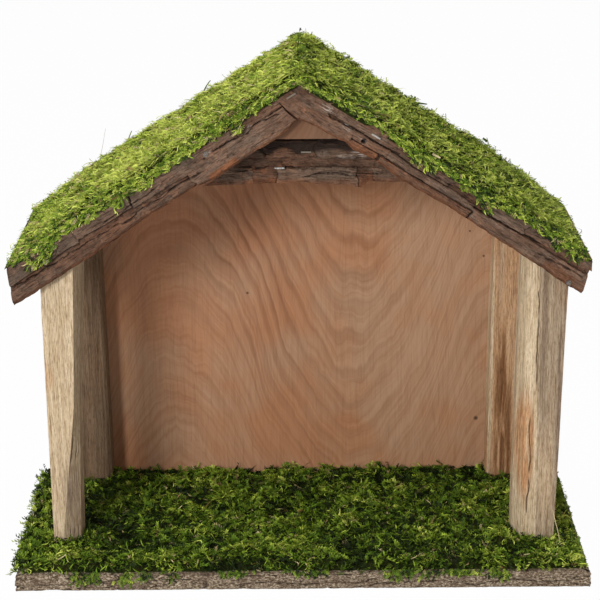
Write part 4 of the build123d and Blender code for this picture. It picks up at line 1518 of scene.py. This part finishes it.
def hanging(rng, x, y, z, way, out, size, tones):
    """Shoots that lie against an upright face; way is how they lean, out the way off the face."""
    count = len(x)
    ahead = way + HANG_SPREAD * rng.normal(0, 1, (count, 3)) * (1 - np.abs(out)) + HANG_OUT * out
    roots = np.stack([x, y, z], axis=1)
    return batch(rng, roots, ahead, np.tile(out, (count, 1)), size, *HANGING_GROWTH, tones)


# How far the moss's lower edge hangs below the roof line, as (distance from the ridge, drop), and tufts that
# hang over the bark, as (x, how far down the strip they reach), in millimetres
FRINGE_HANG = {
    "left": [(0, -1.0), (35, -0.4), (52, 0.2), (62, 1.2), (76, 1.8), (84, 3.8), (96, 2.4), (125, 3.2),
             (163, 1.6)],
    "right": [(0, 0.2), (13, -1.0), (20, -4.4), (44, -4.6), (54, -2.4), (60, 1.6), (66, 0.6), (84, 0.0),
              (92, 3.4), (105, 2.6), (118, -0.5), (130, 0.4), (140, 3.0), (153, 3.8), (160, 0.2)]}
BARK_TUFTS = {
    "left": [(-148.5, 13.0), (-141.2, 15.0), (-139.8, 15.0), (-136.5, 10.0), (-98.4, 7.5), (-32.0, 5.5)],
    "right": [(62.0, 6.0), (70.8, 5.0), (98.0, 6.0), (101.5, 11.0), (140.0, 6.0), (150.0, 6.0)]}
FRINGE_TOP = -4.5
FRINGE_SHARE = 0.4
FRINGE_WAVE = (1.6, 5 * MM, 1.0)
FRINGE_COUNT = 900
FRINGE_FROND = (3.4 * MM, 2.0 * MM)
FRINGE_STRAND = (3.6 * MM, 0.5 * MM)
FRINGE_DARKER = 0.2
TUFT_COUNT = 15
TUFT_SPREAD = 1.6
TUFT_DROPS = 0.75
TUFT_SLANT = 0.6
TUFT_FALL = 0.8
TUFT_RAISED = 1.0 * MM
TUFT_DARKER = 0.28
BARK_FACE = -48.6 * MM
BARK_COAT = (-0.4, 1.2)
NAIL_HEAD = 0.8 * MM


def roof_fringe(side, size, seed):
    """Shoots along the bark strip's upper edge, with tufts that hang lower and cover a nail's head."""
    rng = np.random.default_rng(seed)
    x = SIDES[side] * rng.uniform(0.0, ROOF_MOSS_REACH - 2 * size[0], FRINGE_COUNT)
    hang = np.interp(np.abs(x) / MM, *zip(*FRINGE_HANG[side])) + waver(seed + 1, x, 0 * x, FRINGE_WAVE, 1)
    lowest = hang - FRINGE_SHARE * size[0] / MM
    fall = (FRINGE_TOP + rng.uniform(0.0, 1.0, FRINGE_COUNT) * (lowest - FRINGE_TOP)) * MM
    down, _ = slope_ways(x)
    edge = (x, fall, down * rng.choice([-1.0, 1.0], (FRINGE_COUNT, 1)))
    places, depths = np.array(BARK_TUFTS[side]).T
    drop = rng.uniform(0.0, TUFT_DROPS, (len(places), TUFT_COUNT)) * depths[:, None]
    tuft_x = np.concatenate([rng.normal(place, TUFT_SPREAD, TUFT_COUNT) for place in places]) * MM
    tuft_down, _ = slope_ways(tuft_x)
    tufts = (tuft_x, drop.ravel() * MM - TUFT_RAISED, TUFT_SLANT * tuft_down - TUFT_FALL * UPWARD)
    batches = []
    for (x, fall, way), darker, proud in ((edge, FRINGE_DARKER, 0.0), (tufts, TUFT_DARKER, NAIL_HEAD)):
        y = BARK_FACE - proud + rng.uniform(*BARK_COAT, len(x)) * MM
        stand = rng.uniform(*EDGE_STAND, len(x))
        tones = moss_tones(rng, roof_tone(x, side) - darker, x, fall, stand, seed + 2, ROOF_DRY[side],
                           ROOF_CONTRAST[side])
        batches.append(hanging(rng, x, y, roof_top(x) - fall, way, FORWARD, size, tones))
    return batches


# Tufts that hang over the board's front edge: x, width and drop in millimetres
BOARD_TUFTS = [(-128, 8, 7), (-119, 5, 6), (-101, 7, 7), (-90, 4, 5), (-74, 3, 5), (-40, 9, 2), (5, 12, 2),
               (55, 5, 6), (58, 9, 3), (71, 3, 5), (90, 12, 2), (111, 6, 4), (114, 3, 6)]
BOARD_TUFT_TOP = -3.0
BOARD_TUFT_TONE = 0.1
BOARD_TUFT_FALL = 0.7
BOARD_TUFT_DEPTH = (-0.2, 1.2)
SHOOTS_TO_MILLIMETRE = 6
# How far the moss stands out over each side of the board, how far it leans out and how high it rises
RIM_STAND = {"left": (1.5, 0.8, 6.0), "right": (-0.4, 0.0, 3.5)}
RIM_COUNT = 600
RIM_INSET = 5 * MM
RIM_LEAST = 0.4
RIM_SWELL = (0.6, 16 * MM, 1.0)
# Shoots round a post's foot: how far off it and how high they root, in millimetres, and how they turn
POST_TUFT_COUNT = 170
POST_TUFT_TONE = 0.05
POST_TUFT_PLACE = (0.02, 0.98)
POST_TUFT_GAP = (0.8, 2.5)
POST_TUFT_HEIGHT = (1.0, 6.5)
POST_TUFT_TURN = 1.2
POST_TUFT_OUT = 0.3
POST_TUFT_UP = (0.1, 1.0)


def ground_rim(side, size, seed):
    """Shoots along one side of the board; on the left the moss stands out over the edge."""
    rng = np.random.default_rng(seed)
    outer, lean, rise = RIM_STAND[side]
    x = SIDES[side] * (GROUND_SIDE + rng.uniform(-RIM_INSET, outer * MM, RIM_COUNT))
    y = rng.uniform(GROUND_FRONT + RIM_INSET, GROUND_REAR, RIM_COUNT)
    thick = RIM_LEAST + rough(seed + 1, y, 0 * y, RIM_SWELL, 1)
    ahead = np.stack([SIDES[side] * rng.uniform(RIM_INWARD, lean, RIM_COUNT),
                      rng.normal(0, WAY_SPREAD, RIM_COUNT), rng.uniform(*RIM_UP, RIM_COUNT)], axis=1)
    roots = np.stack([x, y, BASE_TOP + rng.uniform(0.0, rise, RIM_COUNT) * thick * MM], axis=1)
    stand = rng.uniform(*FOOT_STAND, RIM_COUNT)
    tones = moss_tones(rng, GROUND_TONE + OUTER_TONE[side], x, y, stand, seed + 2)
    return batch(rng, roots, ahead, upright(RIM_COUNT), size, *RIM_GROWTH, tones)


def board_tufts(size, seed):
    """Tufts over the board's front edge."""
    rng = np.random.default_rng(seed)
    x, fall = np.empty(0), np.empty(0)
    for place, width, drop in BOARD_TUFTS:
        count = SHOOTS_TO_MILLIMETRE * width
        x = np.append(x, rng.normal(place, width / 2, count) * MM)
        fall = np.append(fall, (rng.uniform(0.0, 1.0, count) * drop + BOARD_TUFT_TOP) * MM)
    y = BASE_LOW.y + rng.uniform(*BOARD_TUFT_DEPTH, len(x)) * MM
    stand = rng.uniform(*EDGE_STAND, len(x))
    tones = moss_tones(rng, GROUND_TONE + BOARD_TUFT_TONE, x, fall, stand, seed + 2)
    way = np.stack([rng.normal(0, WAY_SPREAD, len(x)), 0 * x, 0 * x - BOARD_TUFT_FALL], axis=1)
    return hanging(rng, x, y, BASE_TOP - fall, way, FORWARD, size, tones)


def post_tufts(size, seed):
    """Shoots that stand up round the foot of each post."""
    rng = np.random.default_rng(seed)
    count = POST_TUFT_COUNT
    batches = []
    for post in POSTS.values():
        side = rng.integers(0, len(post["foot"]), count)
        spot, out = ring_places(post["foot"], side, rng.uniform(*POST_TUFT_PLACE, count))
        spot = spot + out * rng.uniform(*POST_TUFT_GAP, (count, 1)) * MM
        spot[:, 1] = np.minimum(spot[:, 1], GROUND_REAR - size[0])
        roots = np.column_stack([spot, BASE_TOP + rng.uniform(*POST_TUFT_HEIGHT, count) * MM])
        round_it = np.stack([-out[:, 1], out[:, 0]], axis=1) * rng.normal(0, POST_TUFT_TURN, (count, 1))
        ahead = np.column_stack([round_it + POST_TUFT_OUT * out, rng.uniform(*POST_TUFT_UP, count)])
        stand = rng.uniform(*FOOT_STAND, count)
        tones = moss_tones(rng, GROUND_TONE + POST_TUFT_TONE, spot[:, 0], spot[:, 1], stand, seed + 2)
        up = np.column_stack([out, np.full(count, POST_TUFT_OUT)])
        batches.append(batch(rng, roots, ahead, up, size, *POST_GROWTH, tones))
    return batches


# Stiff stems and slivers as (x, y, height above what carries them, way in x, y and z, length, width, tone,
# curl), in millimetres
MOSS_DARK = 0.1
MOSS_MID = 0.3
STEM_WAVE = 0.02
ROOF_STEMS = {
    "left": [
        (-58.8, 68, 6, (5.2, 0, 6.7), 8.5, 0.9, MOSS_DARK, 0.2),
        (-47.2, 68, 7, (6.5, 0, 2.7), 7.0, 0.5, MOSS_MID, -0.5),
        (-104.6, 68, 5, (3.5, 0, 8.6), 8.0, 0.7, MOSS_MID, 0.1),
        (-109.7, 68, 4, (-2.0, 0, 3.9), 5.0, 1.4, MOSS_DARK, 0.1),
        (-117.2, 68, 4, (1.6, 0, 3.8), 4.5, 0.6, MOSS_MID, 0.1),
        (-121.6, 68, 5, (5.5, 0, 21.0), 18.0, 0.2, BROWN_TONE, 0.7),
        (-58.4, 11, 8, (8.3, 4.6, 5.1), 10.5, 0.9, STRAW_TONE, 0.1)],
    "right": [
        (88.6, 68, 6, (-0.4, 0, 6.1), 6.5, 0.8, MOSS_MID, -0.3),
        (115.8, 68, 6, (-1.0, 0, 6.2), 8.0, 0.8, MOSS_DARK, 0.6),
        (113.6, 68, 11, (-3.5, 0, 3.2), 5.0, 1.7, MOSS_DARK, 0.0),
        (122.6, 68, 6, (-0.6, 0, 2.9), 4.5, 1.4, MOSS_DARK, 0.0),
        (68.1, 68, 8, (2.5, 0, 3.3), 5.5, 1.5, MOSS_DARK, 0.2),
        (70.2, 68, 8, (4.8, 0, 0.4), 5.5, 1.2, MOSS_DARK, -0.3),
        (72.0, -49, 7, (5.1, 0.4, -3.1), 6.0, 1.2, STRAW_TONE, 0.1)]}
GROUND_STEMS = [
    (149.4, -52, 7, (-4.0, 7, 17.0), 30.0, 0.7, STRAW_TONE, -0.25),
    (127.0, -62, 6, (6.0, 1, 0.5), 3.0, 0.6, STRAW_TONE, 0.1),
    (62.0, -66, 6, (7.0, 3, 1.0), 4.0, 0.6, STRAW_TONE, 0.4),
    (-142.0, -64, 6, (5.0, -2, 2.0), 6.0, 0.5, STRAW_TONE, 0.6),
    (-60.0, 5, 6, (4.0, 4, 1.5), 7.0, 0.5, BROWN_TONE, 0.3),
    (95.0, -20, 6, (-5.0, 2, 1.5), 7.0, 0.5, BROWN_TONE, 0.4)]


def stems(places, base, seed):
    """The stems of one mat, each standing on what carries it."""
    rng = np.random.default_rng(seed)
    batches = []
    for x, y, height, way, length, width, tone, curl in places:
        root = np.array([[x * MM, y * MM, base(x * MM) + height * MM]])
        size = (length * MM, width * MM)
        batches.append(batch(rng, root, np.array([way], float), BACKWARD[None] + UPWARD, size, (curl, 0.0),
                             STEM_WAVE, STEM_WAVE, np.array([tone])))
    return batches


for side, seed in ROOF_SEEDS.items():
    node = "roof_moss_" + side
    plant(node + "_strands", node, STRAND, [roof_cover(side, ROOF_STRANDS, ROOF_STRAND, LYING, seed + 100)])
    plant(node + "_fronds", node, FROND, [roof_cover(side, ROOF_FRONDS, ROOF_FROND, RISING, seed + 120)])
    plant(node + "_fringe", node, FROND, roof_fringe(side, FRINGE_FROND, seed + 110))
    plant(node + "_fringe_strands", node, STRAND, roof_fringe(side, FRINGE_STRAND, seed + 115))
plant("roof_moss_ridge", "roof_moss_left", FROND, [ridge_cover(ROOF_FROND, 840)])
for side, seed in (("left", 930), ("right", 931)):
    plant("roof_moss_" + side + "_stems", "roof_moss_" + side, STEM, stems(ROOF_STEMS[side], roof_top, seed))
plant("ground_moss_strands", "ground_moss", STRAND, [ground_cover(GROUND_STRANDS, GROUND_STRAND, LYING, 941)])
for name, seed in (("ground_moss_fronds", 951), ("ground_moss_more_fronds", 955)):
    plant(name, "ground_moss", FROND, [ground_cover(GROUND_FRONDS, GROUND_FROND, RISING, seed)])
rim = [ground_rim("left", GROUND_FROND, 943), ground_rim("right", FRINGE_FROND, 945)]
rim += post_tufts(GROUND_FROND, 947)
rim.append(board_tufts(FRINGE_FROND, 957))
plant("ground_moss_rim", "ground_moss", FROND, rim)
plant("ground_moss_stems", "ground_moss", STEM, stems(GROUND_STEMS, board_top, 961))


# Plywood and steel keep their solids. Knots are (x, z, radius) in millimetres.
LEVEL = (0.0, 0.0, 0.0)
ENDWAYS = (math.pi / 2, 0.0, 0.0)
PANEL_KNOTS = [(110.8, 47.8, 1.8), (113.3, 155.6, 1.0), (104.4, 171.7, 0.9), (-32.9, 132.8, 1.1)]
# The back panel's left tones are darker, as painted shade from the left posts and roof
PANEL_TONES = [paint(138, 98, 72), paint(180, 139, 108), paint(148, 111, 83), paint(180, 142, 111)]
ROOF_PLY_TONES = [paint(140, 104, 76), paint(182, 142, 108)] * 2
# The gusset's and collar tie's plywood is painted darker than the roof's, as shade under the bark and roof
GUSSET_PAINTED_SHADE_TONES = [paint(104, 77, 57), paint(122, 92, 69)] * 2
STAPLE_TONES = [paint(118, 114, 108), paint(190, 187, 182)]
PANEL_PLY = plywood_finish("back_plywood", -80 * MM, LEVEL, PANEL_TONES, PANEL_KNOTS)
ROOF_PLY = plywood_finish("roof_plywood", 20 * MM, ENDWAYS, ROOF_PLY_TONES)
GUSSET_PAINTED_SHADE_PLY = plywood_finish("gusset_plywood_painted_shade", 90 * MM, LEVEL, GUSSET_PAINTED_SHADE_TONES)
NAIL_STEEL = steel_finish("nail_steel", paint(70, 64, 58), paint(128, 120, 112))
KEPT_SOLIDS = {
    "back_panel": PANEL_PLY,
    "roof_panel_left": ROOF_PLY,
    "roof_panel_right": ROOF_PLY,
    "front_gusset": GUSSET_PAINTED_SHADE_PLY,
    "collar_tie": GUSSET_PAINTED_SHADE_PLY,
    "post_screws": NAIL_STEEL,
    "back_panel_nails": NAIL_STEEL,
    "roof_nails": NAIL_STEEL,
    "fascia_nails": NAIL_STEEL,
    "fascia_staples": steel_finish("fascia_staple_steel", *STAPLE_TONES, bright_below=270 * MM),
    "collar_staples": steel_finish("collar_staple_steel", *STAPLE_TONES, bright_below=241 * MM),
}
for node, finish in KEPT_SOLIDS.items():
    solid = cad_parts[node]
    solid.data.materials.clear()
    solid.data.materials.append(finish)


# Floor, light and camera
FLOOR_HALF = 6.0
FLOOR_GREY = (0.85, 0.85, 0.85, 1.0)
BACKDROP_SHARE = 0.975
AMBIENT = 0.2
# Soft square lamps: place, point faced, size and power
LAMPS = {
    "key": ((-0.8, -1.57, 0.85), (0.0, 0.0, 0.12), 0.5, 24.0),
    "overhead": ((-0.15, -0.45, 1.8), (0.0, 0.0, 0.15), 1.0, 12.5),
    "fill": ((1.3, -1.2, 0.8), (0.0, 0.0, 0.12), 1.2, 3.0),
}
CAMERA_PLACE = (-1.19 * MM, -1014.82 * MM, 491.19 * MM)
CAMERA_DOWN = math.radians(18.57)
CAMERA_RIGHT = math.radians(0.047)
CAMERA_ROLL = math.radians(-0.46)
CAMERA_LENS = 110.07
CAMERA_SENSOR = 36.0


def seen_directly(tree):
    """1 for what the camera sees, straight or in gloss and glass."""
    path = add(tree, "ShaderNodeLightPath")
    shown = sum_of(tree, "MAXIMUM", path.outputs["Is Camera Ray"], path.outputs["Is Glossy Ray"])
    return sum_of(tree, "MAXIMUM", shown, path.outputs["Is Transmission Ray"])


def make_floor():
    """A white floor that keeps a soft shadow."""
    bm = bmesh.new()
    bmesh.ops.create_grid(bm, x_segments=1, y_segments=1, size=FLOOR_HALF)
    mesh = bpy.data.meshes.new("floor")
    bm.to_mesh(mesh)
    bm.free()
    floor = bpy.data.objects.new("floor", mesh)
    bpy.context.scene.collection.objects.link(floor)
    material, tree, shader = new_finish("white_floor", 1.0, 0.0)
    shader.inputs["Base Color"].default_value = FLOOR_GREY
    glow = add(tree, "ShaderNodeEmission", {"Color": WHITE, "Strength": 1.0})
    share = sum_of(tree, "MULTIPLY", seen_directly(tree), BACKDROP_SHARE)
    mixed = add(tree, "ShaderNodeMixShader", {0: share, 1: shader.outputs[0], 2: glow.outputs[0]})
    tree.links.new(mixed.outputs[0], tree.nodes["Material Output"].inputs["Surface"])
    mesh.materials.append(material)


def make_world():
    """An even white surround that is full white only where it is seen."""
    world = bpy.data.worlds.new("white_surround")
    world.use_nodes = True
    tree = world.node_tree
    backdrop = tree.nodes["Background"]
    backdrop.inputs["Color"].default_value = WHITE
    strength = between(tree, seen_directly(tree), 0.0, 1.0, AMBIENT, 1.0)
    tree.links.new(strength, backdrop.inputs["Strength"])
    bpy.context.scene.world = world


def make_lamp(name, place, target, size, power):
    """A square soft lamp that faces a point."""
    light = bpy.data.lights.new(name, "AREA")
    light.size = size
    light.energy = power
    lamp = bpy.data.objects.new(name, light)
    lamp.location = place
    lamp.rotation_euler = (Vector(target) - Vector(place)).to_track_quat("-Z", "Y").to_euler()
    bpy.context.scene.collection.objects.link(lamp)


def make_camera():
    """The camera of the photograph's viewing angle."""
    data = bpy.data.cameras.new("camera")
    data.sensor_width = CAMERA_SENSOR
    data.lens = CAMERA_LENS
    camera = bpy.data.objects.new("camera", data)
    turn = Euler((math.pi / 2 - CAMERA_DOWN, 0.0, -CAMERA_RIGHT)).to_matrix()
    turn = turn @ Matrix.Rotation(CAMERA_ROLL, 3, "Z")
    camera.matrix_world = Matrix.Translation(CAMERA_PLACE) @ turn.to_4x4()
    bpy.context.scene.collection.objects.link(camera)
    bpy.context.scene.camera = camera


make_floor()
make_world()
for name, lamp in LAMPS.items():
    make_lamp(name, *lamp)
make_camera()
bpy.context.scene.view_settings.view_transform = "Standard"
